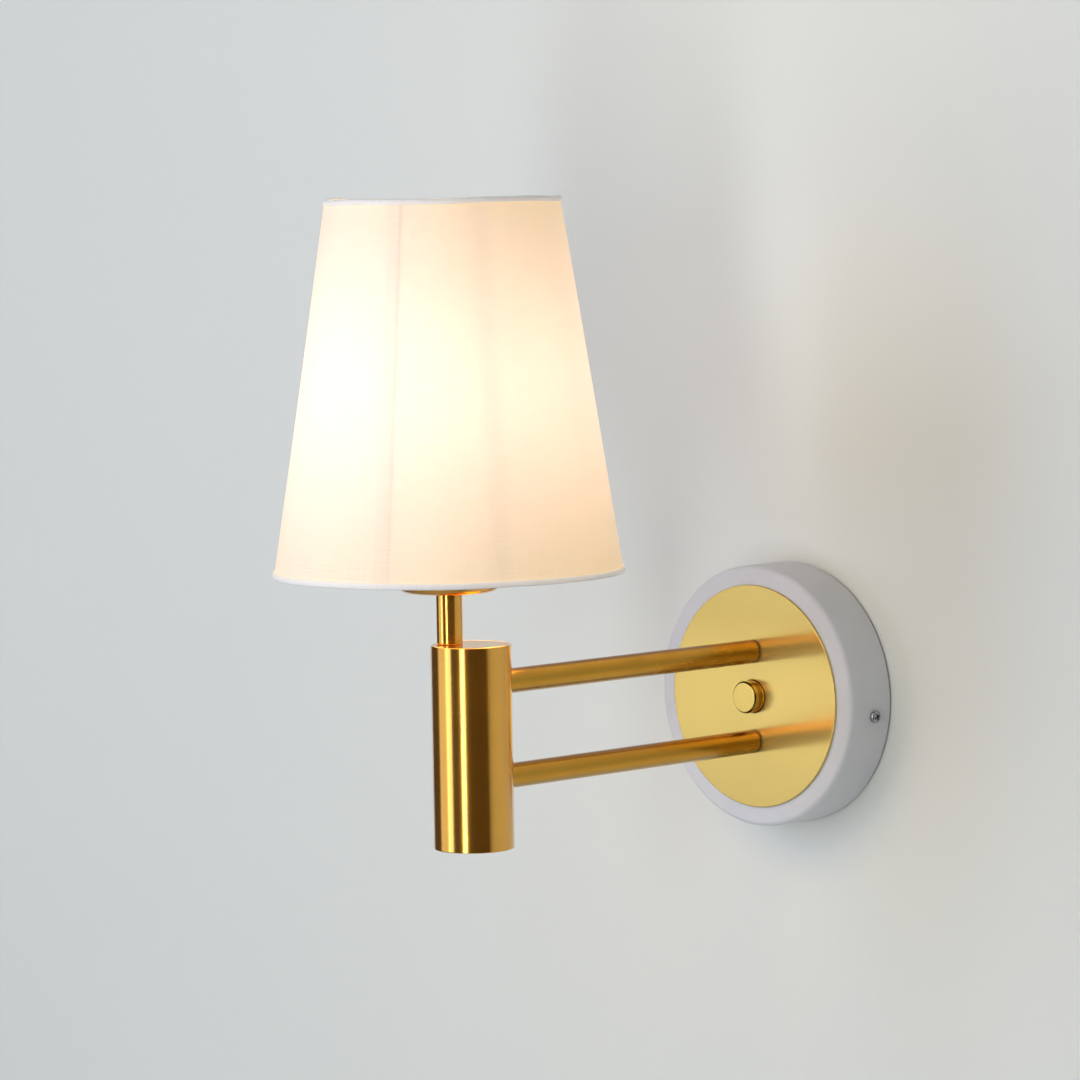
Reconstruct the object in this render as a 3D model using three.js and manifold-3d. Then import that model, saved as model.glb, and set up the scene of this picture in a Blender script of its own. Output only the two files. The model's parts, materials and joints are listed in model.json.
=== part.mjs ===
// Wall sconce on two parallel arms, with a turning lamp head and a push-button switch.
//
// Millimetres. +X is right when facing the wall, +Y points into the wall, +Z is up.
// The origin is the middle of the back face, on the wall. The lamp stands out towards -Y.
//
// Wall-side pieces are drawn in a turned group whose own axes are (right, up, out of the wall).
// The barrel and the lamp head are drawn upright, around the barrel's axis.
import * as THREE from "three";
import { mergeVertices } from "three/addons/utils/BufferGeometryUtils.js";
import Module from "manifold-3d";

const wasm = await Module();
wasm.setup();

// Driving dimensions.
const GAP = 0.3; // room between neighbouring pieces
const LIFT = 0.2; // room between faces that rest on each other

const CANOPY = { radius: 60, depth: 26, wall: 1.5, edge: 2 };
const DISC = { radius: 51.2, thickness: 1, collarRadius: 9.5, collarBack: 14 };
const BUTTON = { radius: 7.4, proud: 6.2, wall: 1.6, face: 3, back: 18.5, chamfer: 0.5 };
const ARM = { radius: 5.4, bore: 4.2, height: 20.7 };
const NIPPLE = { radius: 3.9, bore: 2.8 };
const BARREL = { radius: 17.45, wall: 1.3, out: 201, bottom: -49.8, top: 38.5, chamfer: 0.4 };
const STEM = { radius: 5.65, spigot: 3.7, bore: 2.6, right: -7.7, back: -5.1 };
const DISH = { radius: 22.2, under: 61.2, rim: 65.6, flat: 18.5, wall: 1.2 };
const HOLDER = { radius: 15.2, thread: 13.9, shoulder: 95, top: 107, bore: 8.7 };
const BULB = { radius: 22.5, centre: 138, cap: 7, glass: 1 };
const SHADE = { bottom: 68.6, top: 230.2, bottomRadius: 76.2, topRadius: 51.2 };
const FLEX_RADIUS = 1.6;
const LEAD_RADIUS = 0.9;

const CANOPY_BORE = CANOPY.radius - CANOPY.wall;
const CANOPY_INSIDE = CANOPY.depth - CANOPY.wall;
const DISC_BACK = CANOPY.depth + LIFT;
const DISC_FRONT = DISC_BACK + DISC.thickness;
const BUTTON_FRONT = DISC_FRONT + BUTTON.proud;
const BARREL_BORE = BARREL.radius - BARREL.wall;

// Facets round the turned pieces.
const LARGE = 40;
const MEDIUM = 20;
const SMALL = 16;
const TINY = 8;

const FINISH = {
  brushedBrass: { color: 0xdcc47c, roughness: 0.38, metalness: 1 },
  satinBrass: { color: 0xc8924a, roughness: 0.24, metalness: 1 },
  rawBrass: { color: 0xb08d4f, roughness: 0.5, metalness: 1 },
  whitePaint: { color: 0xd6d4da, roughness: 0.55, metalness: 0 },
  zincSteel: { color: 0xa9adb1, roughness: 0.4, metalness: 1 },
  nylon: { color: 0xe8e6dd, roughness: 0.6, metalness: 0 },
  blackPlastic: { color: 0x202124, roughness: 0.45, metalness: 0 },
  whitePlastic: { color: 0xecebe6, roughness: 0.5, metalness: 0 },
  cableSleeve: { color: 0xe6e3da, roughness: 0.6, metalness: 0 },
  earthSleeve: { color: 0x8fa52b, roughness: 0.55, metalness: 0 },
  frostedGlass: { color: 0xfff4e0, roughness: 0.3, metalness: 0 },
  whiteWire: { color: 0xe4e1da, roughness: 0.45, metalness: 0.2 },
  liner: { color: 0xf6efdf, roughness: 0.5, metalness: 0 },
  linen: { color: 0xf3ead6, roughness: 0.85, metalness: 0 },
  tape: { color: 0xddd8cc, roughness: 0.9, metalness: 0 },
};

function piece(name, geometry, finish) {
  const mesh = new THREE.Mesh(geometry, new THREE.MeshStandardMaterial(FINISH[finish]));
  mesh.name = name;
  return mesh;
}

// ---------- Solids ----------

function toSolid(geometry) {
  const plain = geometry.clone();
  plain.deleteAttribute("normal");
  plain.deleteAttribute("uv");
  const merged = mergeVertices(plain, 1e-4);
  const vertProperties = merged.attributes.position.array;
  const triVerts = new Uint32Array(merged.index.array);
  return new wasm.Manifold(new wasm.Mesh({ numProp: 3, vertProperties, triVerts }));
}

function toGeometry(solid) {
  const mesh = solid.getMesh();
  const geometry = new THREE.BufferGeometry();
  geometry.setAttribute("position", new THREE.BufferAttribute(mesh.vertProperties, 3));
  geometry.setIndex(new THREE.BufferAttribute(mesh.triVerts, 1));
  geometry.computeVertexNormals();
  return geometry;
}

function cut(body, tools) {
  return toGeometry(tools.reduce((left, tool) => left.subtract(toSolid(tool)), toSolid(body)));
}

function join(bodies) {
  return toGeometry(bodies.map(toSolid).reduce((whole, next) => whole.add(next)));
}

function common(first, second) {
  return toGeometry(toSolid(first).intersect(toSolid(second)));
}

// A profile of [radius, height] points turned about Z: up the outside, down the inside.
function turned(profile, facets) {
  const points = profile.map(([radius, height]) => new THREE.Vector2(radius, height));
  return new THREE.LatheGeometry(points, facets).rotateX(Math.PI / 2);
}

function rod(radius, from, to, facets = SMALL) {
  return turned([[0, from], [radius, from], [radius, to], [0, to]], facets);
}

function ring(inner, outer, from, to, facets = MEDIUM) {
  return turned([[inner, from], [outer, from], [outer, to], [inner, to], [inner, from]], facets);
}

function box(width, depth, height, x = 0, y = 0, z = 0) {
  return new THREE.BoxGeometry(width, depth, height).translate(x, y, z);
}

// Points along an arc in the profile plane, angles in degrees, both ends included.
function arc(radius, height, size, from, to, steps) {
  return Array.from({ length: steps + 1 }, (_, i) => {
    const angle = THREE.MathUtils.degToRad(from + ((to - from) * i) / steps);
    return [radius + size * Math.cos(angle), height + size * Math.sin(angle)];
  });
}

function circlePath(radius, x = 0, y = 0) {
  return new THREE.Path().absarc(x, y, radius, 0, 2 * Math.PI, false);
}

function extruded(shape, depth, from, curveSegments = 8) {
  const settings = { depth, bevelEnabled: false, curveSegments };
  return new THREE.ExtrudeGeometry(shape, settings).translate(0, 0, from);
}

// A hexagon nut with a plain hole, its axis along Z.
function hexNut(acrossFlats, hole, from, to) {
  const corner = acrossFlats / Math.sqrt(3);
  const shape = new THREE.Shape();
  for (let i = 0; i < 6; i++) {
    const angle = (i * Math.PI) / 3;
    const point = [corner * Math.cos(angle), corner * Math.sin(angle)];
    if (i === 0) shape.moveTo(...point);
    else shape.lineTo(...point);
  }
  shape.closePath();
  shape.holes.push(circlePath(hole));
  return extruded(shape, to - from, from, SMALL / 2);
}

// A pan-head screw along Z: the head's underside is at zero and the cross recess is on top.
function panScrew(shank, length, head, headHeight) {
  const body = turned(
    [
      [0, -length],
      [shank * 0.7, -length],
      [shank, -length + 0.8],
      [shank, 0],
      [head, 0],
      [head, headHeight * 0.45],
      [head * 0.8, headHeight * 0.88],
      [head * 0.4, headHeight],
      [0, headHeight],
    ],
    SMALL,
  );
  const width = head * 0.28;
  const reach = head * 1.15;
  const depth = headHeight * 1.1;
  return cut(body, [
    box(reach, width, depth, 0, 0, headHeight),
    box(width, reach, depth, 0, 0, headHeight),
  ]);
}

// A round wire or cable along a smooth curve through the points.
function cable(points, radius, sides, steps) {
  const path = new THREE.CatmullRomCurve3(points.map((p) => new THREE.Vector3(...p)));
  path.curveType = "centripetal";
  return sweep(path, radius, sides, steps);
}

function sweep(path, radius, sides, steps) {
  const section = new THREE.Shape();
  for (let i = 0; i < sides; i++) {
    const angle = (2 * Math.PI * i) / sides;
    const point = [radius * Math.cos(angle), radius * Math.sin(angle)];
    if (i === 0) section.moveTo(...point);
    else section.lineTo(...point);
  }
  section.closePath();
  return new THREE.ExtrudeGeometry(section, { steps, extrudePath: path, bevelEnabled: false });
}

class Helix extends THREE.Curve {
  constructor(radius, from, to, turns) {
    super();
    Object.assign(this, { radius, from, to, turns });
  }
  getPoint(t, target = new THREE.Vector3()) {
    const angle = 2 * Math.PI * this.turns * t;
    const x = this.radius * Math.cos(angle);
    const y = this.radius * Math.sin(angle);
    return target.set(x, y, this.from + (this.to - this.from) * t);
  }
}

// ---------- Wall side, axes (right, up, out) ----------

const PLATE = { radius: 52, thickness: 2, tabOut: 17, tabWidth: 14, tabFace: 57.7, tabThickness: 2 };
const SIDE_SCREW = { out: 10.5, shank: 1.5, head: 2.9, headHeight: 1.9, length: 9 };
const SIDE_TURN = THREE.MathUtils.degToRad(-6); // the right side screw sits a little below level
const EARTH = { x: 40, y: 22 };

// Steel plate that is screwed to the wall. Two bent tabs take the canopy's side screws.
// Its middle is solid, with slots above and below it and the supply cable's hole to the left.
function wallBracket() {
  const plate = new THREE.Shape().absarc(0, 0, PLATE.radius, 0, 2 * Math.PI, false);
  plate.holes.push(circlePath(9, -28, 0), circlePath(2, EARTH.x, EARTH.y));
  const slots = [38, -38].map((y) => join([
    box(11, 5, 8, 0, y, 1),
    rod(2.5, -3, 5, TINY).translate(-5.5, y, 0),
    rod(2.5, -3, 5, TINY).translate(5.5, y, 0),
  ]));
  const tabs = [1, -1].flatMap((side) => {
    const middle = side * (PLATE.tabFace - PLATE.tabThickness / 2);
    const foot = side * (PLATE.tabFace - 8);
    return [
      box(PLATE.tabThickness, PLATE.tabWidth, PLATE.tabOut, middle, 0, PLATE.tabOut / 2),
      box(16, PLATE.tabWidth, PLATE.thickness, foot, 0, PLATE.thickness / 2),
    ].map((tab) => tab.rotateZ(SIDE_TURN));
  });
  const body = join([extruded(plate, PLATE.thickness, 0, MEDIUM / 2), ...tabs]);
  return cut(body, [...slots, sideHoles()]);
}

// One long rod through both sides, at the side screws.
function sideHoles() {
  const through = rod(SIDE_SCREW.shank + GAP, -80, 80, TINY).rotateY(Math.PI / 2);
  return through.translate(0, 0, SIDE_SCREW.out).rotateZ(SIDE_TURN);
}

// Spun white cup with a rounded front edge, open towards the wall.
function canopyShell() {
  const { radius, depth, edge } = CANOPY;
  const centreHole = DISC.collarRadius + GAP;
  const cup = turned(
    [
      [centreHole, CANOPY_INSIDE],
      [CANOPY_BORE - 1, CANOPY_INSIDE],
      [CANOPY_BORE, CANOPY_INSIDE - 1],
      [CANOPY_BORE, 0],
      [radius, 0],
      ...arc(radius - edge, depth - edge, edge, 0, 90, 3),
      [centreHole, depth],
      [centreHole, CANOPY_INSIDE],
    ],
    LARGE,
  );
  return cut(cup, [...armHoles(10, 40), sideHoles()]);
}

function armHoles(from, to) {
  return [1, -1].map((side) => rod(NIPPLE.radius + GAP, from, to).translate(0, side * ARM.height, 0));
}

// Brass face plate with a threaded collar on its back that the button slides in.
function faceDisc() {
  const bore = BUTTON.radius + 0.4;
  const plate = turned(
    [
      [bore, DISC.collarBack],
      [DISC.collarRadius, DISC.collarBack],
      [DISC.collarRadius, DISC_BACK],
      [DISC.radius, DISC_BACK],
      [DISC.radius, DISC_FRONT - 0.3],
      [DISC.radius - 0.3, DISC_FRONT],
      [bore, DISC_FRONT],
      [bore, DISC.collarBack],
    ],
    LARGE,
  );
  return cut(plate, armHoles(20, 40));
}

function discNut() {
  const to = CANOPY_INSIDE - LIFT;
  return hexNut(25, DISC.collarRadius + GAP, to - 3, to);
}

function sideScrew(side) {
  const geometry = panScrew(SIDE_SCREW.shank, SIDE_SCREW.length, SIDE_SCREW.head, SIDE_SCREW.headHeight);
  return geometry
    .rotateY((side * Math.PI) / 2)
    .translate(side * (CANOPY.radius + LIFT), 0, SIDE_SCREW.out)
    .rotateZ(SIDE_TURN);
}

// Button cap, a deep cup open at the back.
function buttonCap() {
  const { radius, wall, face, back, chamfer } = BUTTON;
  return turned(
    [
      [0, BUTTON_FRONT - face],
      [radius - wall, BUTTON_FRONT - face],
      [radius - wall, back],
      [radius, back],
      [radius, BUTTON_FRONT - chamfer],
      [radius - chamfer, BUTTON_FRONT],
      [0, BUTTON_FRONT],
    ],
    MEDIUM,
  );
}

const SWITCH = { radius: 12, back: 4, neck: 7.5, neckFront: 15.6, plunger: 2.6, plungerBack: 9.5 };

// Latching switch: a round case behind the collar with a neck inside it, and a blind plunger hole.
function switchModule() {
  const { radius, back, neck, neckFront, plunger, plungerBack } = SWITCH;
  const hole = plunger + GAP;
  const floor = plungerBack - 3.2;
  return turned(
    [
      [0, back],
      [radius, back],
      [radius, DISC.collarBack - GAP],
      [neck, DISC.collarBack - GAP],
      [neck, neckFront],
      [hole, neckFront],
      [hole, floor],
      [0, floor],
    ],
    SMALL,
  );
}

// Plunger with a round flange that the spring pushes on, its tip against the cap's inside.
function switchPlunger() {
  const tip = BUTTON_FRONT - BUTTON.face - LIFT;
  return turned(
    [
      [0, SWITCH.plungerBack],
      [SWITCH.plunger, SWITCH.plungerBack],
      [SWITCH.plunger, 23.4],
      [5.2, 23.4],
      [5.2, 24.6],
      [SWITCH.plunger, 24.6],
      [SWITCH.plunger, tip],
      [0, tip],
    ],
    SMALL,
  );
}

function buttonSpring() {
  return sweep(new Helix(4.3, SWITCH.neckFront + 0.8, 22.6, 3), 0.4, 6, 32);
}

const BLOCK = { left: 27, right: 41, pitch: 7, back: 2.3, front: 12.3, wireOut: 6.5 };
const POLES = [-1, 0, 1].map((i) => i * BLOCK.pitch);

// Three-pole terminal block, with a wire hole through each pole and a screw hole on top.
function terminalBlock() {
  const width = BLOCK.right - BLOCK.left;
  const middle = (BLOCK.left + BLOCK.right) / 2;
  const depth = BLOCK.front - BLOCK.back;
  const body = box(width, 3 * BLOCK.pitch, depth, middle, 0, BLOCK.back + depth / 2);
  const holes = POLES.flatMap((y) => [
    rod(1.3, 20, 48, TINY).rotateY(Math.PI / 2).translate(0, y, BLOCK.wireOut),
    rod(1.9, 8.6, 20, TINY).translate(middle, y, 0),
  ]);
  return cut(body, holes);
}

function terminalScrew(y) {
  const middle = (BLOCK.left + BLOCK.right) / 2;
  const slot = box(4, 0.6, 1.6, 0, 0, BLOCK.front - 1);
  return cut(rod(1.6, 8.8, BLOCK.front - 1, TINY), [slot]).translate(middle, y, 0);
}

function earthScrew() {
  return panScrew(1.7, 1.6, 3.5, 2).translate(EARTH.x, EARTH.y, 3.3);
}

// Ring lug under the earth screw, crimped to a short lead from the terminal block.
function earthLead() {
  const lug = join([
    ring(2, 3.8, 2.3, 3, SMALL).translate(EARTH.x, EARTH.y, 0),
    box(2.4, 4.4, 0.7, EARTH.x + 0.6, EARTH.y - 5, 2.65),
  ]);
  const crimp = [EARTH.x + 0.6, EARTH.y - 6, 3.2];
  const end = [BLOCK.right + 0.5, POLES[2], BLOCK.wireOut];
  const route = [crimp, [42.2, 13.5, 4.4], [45.4, 9.6, 6], [43.6, 7.1, BLOCK.wireOut], end];
  return join([lug, cable(route, LEAD_RADIUS, 6, 12)]);
}

function switchLead(start, middle, pole) {
  const nearEnd = [BLOCK.left - 2.5, POLES[pole], BLOCK.wireOut];
  const end = [BLOCK.left - 0.5, POLES[pole], BLOCK.wireOut];
  return cable([start, middle, nearEnd, end], LEAD_RADIUS, 6, 8);
}

// Threaded tube that holds an arm's wall end to the canopy.
function wallNipple() {
  return ring(NIPPLE.bore, NIPPLE.radius, 17.5, 47, SMALL);
}

function wallWasher() {
  return ring(NIPPLE.radius + GAP, 8, 23, CANOPY_INSIDE - LIFT, SMALL);
}

function wallNut() {
  return hexNut(12, NIPPLE.radius + GAP, 18.8, 22.8);
}

// Arm tube, square at the disc and saddle-cut to the barrel.
function armTube(height) {
  const tube = ring(ARM.bore, ARM.radius, DISC_FRONT + LIFT, BARREL.out, SMALL + 4);
  const saddle = rod(BARREL.radius + LIFT, -20, 20, LARGE).rotateX(Math.PI / 2);
  return cut(tube, [saddle.translate(0, 0, BARREL.out)]).translate(0, height, 0);
}

const BARREL_NIPPLE = { from: 165, to: 191 };

function barrelNipple() {
  return ring(NIPPLE.bore, NIPPLE.radius, BARREL_NIPPLE.from, BARREL_NIPPLE.to, SMALL);
}

// Washer whose outer side is curved to the barrel's bore, under the flat nut.
function barrelSaddle() {
  const bore = BARREL.out - BARREL_BORE;
  const blank = ring(NIPPLE.radius + GAP, 6, bore - 1, bore + 2.2, SMALL);
  const inside = rod(BARREL_BORE - LIFT, -20, 20, LARGE).rotateX(Math.PI / 2);
  return common(blank, inside.translate(0, 0, BARREL.out));
}

function barrelNut() {
  const from = BARREL.out - BARREL_BORE + 2.2 + LIFT;
  return hexNut(11, NIPPLE.radius + GAP, from, from + 3);
}

// Lamp flex from the terminal block through the lower arm and up the barrel's axis.
const FLEX_SPLIT = 23; // height on the barrel's axis where the turning part of the flex begins
function fixedFlex() {
  const low = -ARM.height;
  const route = [
    [BLOCK.left - 0.5, POLES[0], BLOCK.wireOut],
    [24.5, POLES[0] - 0.1, BLOCK.wireOut],
    [21, -8.6, 6.3],
    [15, -15.4, 6.2],
    [9, -20.4, 6.4],
    [3.6, -21.4, 8],
    [0.7, low - 0.2, 12],
    [0, low, 18],
    [0, low, 26],
    [0, low, 60],
    [0, low, 150],
    [0, low, 184],
    [0, low + 0.1, 190],
    [0, low + 1.8, 196],
    [0, low + 6.5, 200],
    [0, low + 13, BARREL.out],
    [0, low + 22, BARREL.out],
    [0, FLEX_SPLIT - GAP, BARREL.out],
  ];
  return cable(route, FLEX_RADIUS, 6, 64);
}

// ---------- Barrel, upright, around its own axis ----------

const BEARING = { bottom: 30.4, top: 32.9, bore: 14.6 };
const TURRET = { plateUnder: 33.5, skirt: 14.3, skirtBore: 13, skirtBottom: 27.9, stopAngle: 15.6 };
const CLIP = { bottom: 29.2, top: 30.1, bore: 13.85, radius: 15.4 };
const STEM_ANGLE = Math.atan2(STEM.back, STEM.right);

function barrelTube() {
  const { radius, bottom, top, chamfer } = BARREL;
  const tube = turned(
    [
      [BARREL_BORE, bottom],
      [radius - chamfer, bottom],
      [radius, bottom + chamfer],
      [radius, top - chamfer],
      [radius - chamfer, top],
      [BARREL_BORE, top],
      [BARREL_BORE, bottom],
    ],
    LARGE,
  );
  const holes = [1, -1].map((side) =>
    rod(NIPPLE.radius + GAP, 8, 24).rotateX(-Math.PI / 2).translate(0, 0, side * ARM.height));
  return cut(tube, holes);
}

// Cap pressed into the barrel's lower end, flush with the tube.
function barrelBaseCap() {
  const radius = BARREL_BORE - GAP;
  const bottom = BARREL.bottom;
  return turned(
    [
      [0, bottom],
      [radius - GAP, bottom],
      [radius, bottom + GAP],
      [radius, bottom + 10],
      [radius - 1.5, bottom + 10],
      [radius - 1.5, bottom + 2.2],
      [0, bottom + 2.2],
    ],
    MEDIUM,
  );
}

function bearingRing() {
  return ring(BEARING.bore, BARREL_BORE - GAP, BEARING.bottom, BEARING.top, LARGE);
}

function frictionWasher() {
  const from = BEARING.top + 0.1;
  return ring(BEARING.bore, BARREL_BORE - GAP, from, from + 0.35, LARGE);
}

// Pin inside the barrel, opposite the stem at rest, that stops the head after most of a turn.
function stopPin() {
  const height = (TURRET.skirtBottom + CLIP.bottom) / 2 - 0.1;
  return rod(0.4, TURRET.skirt + GAP, BARREL_BORE - GAP, TINY)
    .rotateY(Math.PI / 2)
    .rotateZ(STEM_ANGLE + Math.PI)
    .translate(0, 0, height);
}

// ---------- Lamp head, upright, around the barrel's axis ----------

// Turning top of the barrel: a plate, a skirt inside the bearing ring and a stop tab.
function turretCap() {
  const { plateUnder, skirt, skirtBore, skirtBottom, stopAngle } = TURRET;
  const radius = BARREL_BORE - GAP;
  const body = turned(
    [
      [0, plateUnder],
      [skirtBore, plateUnder],
      [skirtBore, skirtBottom],
      [skirt, skirtBottom],
      [skirt, CLIP.bottom - 0.1],
      [CLIP.bore - 0.15, CLIP.bottom - 0.1],
      [CLIP.bore - 0.15, CLIP.top + 0.1],
      [skirt, CLIP.top + 0.1],
      [skirt, plateUnder],
      [radius, plateUnder],
      [radius, BARREL.top - BARREL.chamfer],
      [radius - BARREL.chamfer, BARREL.top],
      [0, BARREL.top],
    ],
    LARGE,
  );
  const tab = box(2.2, 2 * skirt * Math.sin(THREE.MathUtils.degToRad(stopAngle / 2)), 1);
  tab.translate(skirt - 0.05, 0, skirtBottom + 0.5).rotateZ(STEM_ANGLE);
  const socket = rod(STEM.spigot + GAP, 20, 50).translate(STEM.right, STEM.back, 0);
  return cut(join([body, tab]), [socket]);
}

// Open spring clip in the skirt's groove, under the bearing ring.
function retainingClip() {
  const gapHalf = THREE.MathUtils.degToRad(14);
  const shape = new THREE.Shape();
  shape.absarc(0, 0, CLIP.radius, gapHalf, 2 * Math.PI - gapHalf, false);
  shape.absarc(0, 0, CLIP.bore, 2 * Math.PI - gapHalf, gapHalf, true);
  shape.closePath();
  return extruded(shape, CLIP.top - CLIP.bottom, CLIP.bottom, 12);
}

function stemTube() {
  const { radius, spigot, bore } = STEM;
  const low = BARREL.top + LIFT;
  const high = DISH.under - LIFT;
  return turned(
    [
      [bore, TURRET.plateUnder + 0.1],
      [spigot, TURRET.plateUnder + 0.1],
      [spigot, low],
      [radius - 0.3, low],
      [radius, low + 0.3],
      [radius, high],
      [spigot, high],
      [spigot, 70.5],
      [bore, 70.5],
      [bore, TURRET.plateUnder + 0.1],
    ],
    MEDIUM,
  );
}

// Shallow brass dish under the lampholder, with a rounded lower edge.
function dish() {
  const { radius, under, rim, flat, wall } = DISH;
  const hole = STEM.spigot + GAP;
  const corner = radius - flat;
  return turned(
    [
      [hole, under],
      ...arc(flat, under + corner, corner, -90, 0, 4),
      [radius, rim],
      [radius - wall, rim],
      ...arc(flat, under + corner, corner - wall, 0, -90, 3),
      [hole, under + wall],
      [hole, under],
    ],
    MEDIUM,
  );
}

const HOLDER_BASE = { from: 62.7, floor: 64.9, to: 77, radius: 13.4 };

function lampholderBase() {
  const { from, floor, to, radius } = HOLDER_BASE;
  const hole = STEM.spigot + GAP;
  return turned(
    [
      [hole, from],
      [radius - 3, from],
      [radius - 0.9, from + 0.9],
      [radius, from + 3],
      [radius, to],
      [radius - 1.6, to],
      [radius - 1.6, floor],
      [hole, floor],
      [hole, from],
    ],
    MEDIUM,
  );
}

function stemNut() {
  return hexNut(12, STEM.spigot + GAP, HOLDER_BASE.floor + LIFT, HOLDER_BASE.floor + 3.2);
}

// Lampholder body: a wide lower skirt whose shoulder carries the shade, and a threaded upper part.
function lampholderBody() {
  const { radius, thread, shoulder, top, bore } = HOLDER;
  const from = HOLDER_BASE.to + GAP;
  return turned(
    [
      [2.2, from],
      [radius - 0.6, from],
      [radius, from + 0.6],
      [radius, shoulder],
      [thread, shoulder],
      [thread, top - 0.6],
      [thread - 0.6, top],
      [bore, top],
      [bore, from + 3],
      [2.2, from + 3],
      [2.2, from],
    ],
    MEDIUM,
  );
}

function lampholderShell() {
  return ring(HOLDER.bore - 0.8, HOLDER.bore - GAP, 81, 105, MEDIUM);
}

function centreContact() {
  return rod(1.8, 76, 81.5, TINY);
}

// Knurled ring that clamps the shade's fitter on the shoulder.
function shadeRingNut() {
  return ring(HOLDER.thread + 0.4, 18.2, HOLDER.shoulder + 2.1, HOLDER.shoulder + 8.5, MEDIUM);
}

// Screw cap of the bulb, with a rolled thread of four ridges.
function bulbCap() {
  const ridges = Array.from({ length: 4 }, (_, i) => 86 + 3.6 * i);
  return turned(
    [
      [0, 83.5],
      [3.2, 83.5],
      [BULB.cap - 0.4, 85],
      ...ridges.flatMap((z) => [[BULB.cap - 0.4, z], [BULB.cap + 0.4, z + 1.1], [BULB.cap - 0.4, z + 2.2]]),
      [BULB.cap - 0.4, 100],
      [BULB.cap, 101],
      [BULB.cap, 107.5],
      [0, 107.5],
    ],
    SMALL,
  );
}

function bulbContact() {
  return rod(2.4, 81.8, 83.2, TINY);
}

// Golf-ball bulb: a glass globe and neck, open where the cap closes it.
function bulbGlass() {
  const { radius, centre, glass } = BULB;
  const neck = 107.8;
  const inner = radius - glass;
  const low = -50;
  return turned(
    [
      [0, centre + inner],
      ...arc(0, centre, inner, 75, low, 6),
      [9.4, 114.5],
      [6.6, neck],
      [7.6, neck],
      [10.4, 114.5],
      ...arc(0, centre, radius, low, 75, 6),
      [0, centre + radius],
    ],
    MEDIUM,
  );
}

// Flex inside the head: off the barrel's axis, up the stem and into the lampholder.
function headFlex() {
  const { right, back } = STEM;
  const route = [
    [0, 0, FLEX_SPLIT],
    [0, 0, FLEX_SPLIT + 1.5],
    [right * 0.22, back * 0.22, FLEX_SPLIT + 4],
    [right * 0.68, back * 0.68, FLEX_SPLIT + 7],
    [right * 0.96, back * 0.96, FLEX_SPLIT + 10],
    [right, back, FLEX_SPLIT + 13],
    [right, back, 50],
    [right, back, 66],
    [right, back, 74.5],
  ];
  return cable(route, FLEX_RADIUS, 6, 24);
}

// ---------- Shade, around its own axis ----------

const FABRIC = 0.6;
const LINER = 0.5;
const TAPE = 0.5;
const FABRIC_BOTTOM = SHADE.bottom + TAPE + 0.1;
const FABRIC_TOP = SHADE.top - TAPE - 0.1;
const SKIN_GAP = 0.2;
const WIRE = 1.3;

// Outside radius of the shade's hem line at a height.
function shadeRadius(z) {
  const share = (z - SHADE.bottom) / (SHADE.top - SHADE.bottom);
  return THREE.MathUtils.lerp(SHADE.bottomRadius, SHADE.topRadius, share);
}

// A conical skin between two depths below the hem line.
function shadeSkin(outerDepth, innerDepth, from, to) {
  return turned(
    [
      [shadeRadius(from) - innerDepth, from],
      [shadeRadius(from) - outerDepth, from],
      [shadeRadius(to) - outerDepth, to],
      [shadeRadius(to) - innerDepth, to],
      [shadeRadius(from) - innerDepth, from],
    ],
    LARGE,
  );
}

const FABRIC_OUT = TAPE + SKIN_GAP;
const LINER_OUT = FABRIC_OUT + FABRIC + SKIN_GAP;
const LINER_IN = LINER_OUT + LINER;

function shadeFabric() {
  return shadeSkin(FABRIC_OUT, FABRIC_OUT + FABRIC, FABRIC_BOTTOM, FABRIC_TOP);
}

function shadeLiner() {
  return shadeSkin(LINER_OUT, LINER_IN, FABRIC_BOTTOM, FABRIC_TOP);
}

// Edge tape: an outer band with a lip that closes the edge of the fabric and the liner.
function shadeTape(edge, band) {
  const towards = Math.sign(band - edge);
  const lip = edge + towards * TAPE;
  const profile = [
    [shadeRadius(edge) - LINER_IN, lip],
    [shadeRadius(edge) - LINER_IN, edge],
    [shadeRadius(edge), edge],
    [shadeRadius(band), band],
    [shadeRadius(band) - TAPE, band],
    [shadeRadius(lip) - TAPE, lip],
    [shadeRadius(edge) - LINER_IN, lip],
  ];
  return turned(towards > 0 ? profile : profile.reverse(), LARGE);
}

function wireRing(height) {
  const radius = shadeRadius(height) - LINER_IN - GAP - WIRE;
  return new THREE.TorusGeometry(radius, WIRE, 6, LARGE).translate(0, 0, height);
}

const FRAME_HEIGHT = SHADE.bottom + 2.6;
const FITTER = { from: HOLDER.shoulder + 0.2, to: HOLDER.shoulder + 1.8, radius: 18.6 };

// Welded lower frame: bottom wire ring, three spokes and the fitter ring on the lampholder.
function shadeFrame() {
  const fitter = ring(HOLDER.thread + 0.4, FITTER.radius, FITTER.from, FITTER.to, MEDIUM);
  const inner = new THREE.Vector3(0, FITTER.radius - 1, (FITTER.from + FITTER.to) / 2);
  const outer = new THREE.Vector3(0, shadeRadius(FRAME_HEIGHT) - LINER_IN - GAP - WIRE, FRAME_HEIGHT);
  const spokes = [0, 1, 2].map((i) =>
    sweep(new THREE.LineCurve3(inner, outer), 1.1, 6, 1).rotateZ((2 * Math.PI * i) / 3));
  return join([wireRing(FRAME_HEIGHT), fitter, ...spokes]);
}

// ---------- Assembly ----------

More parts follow.
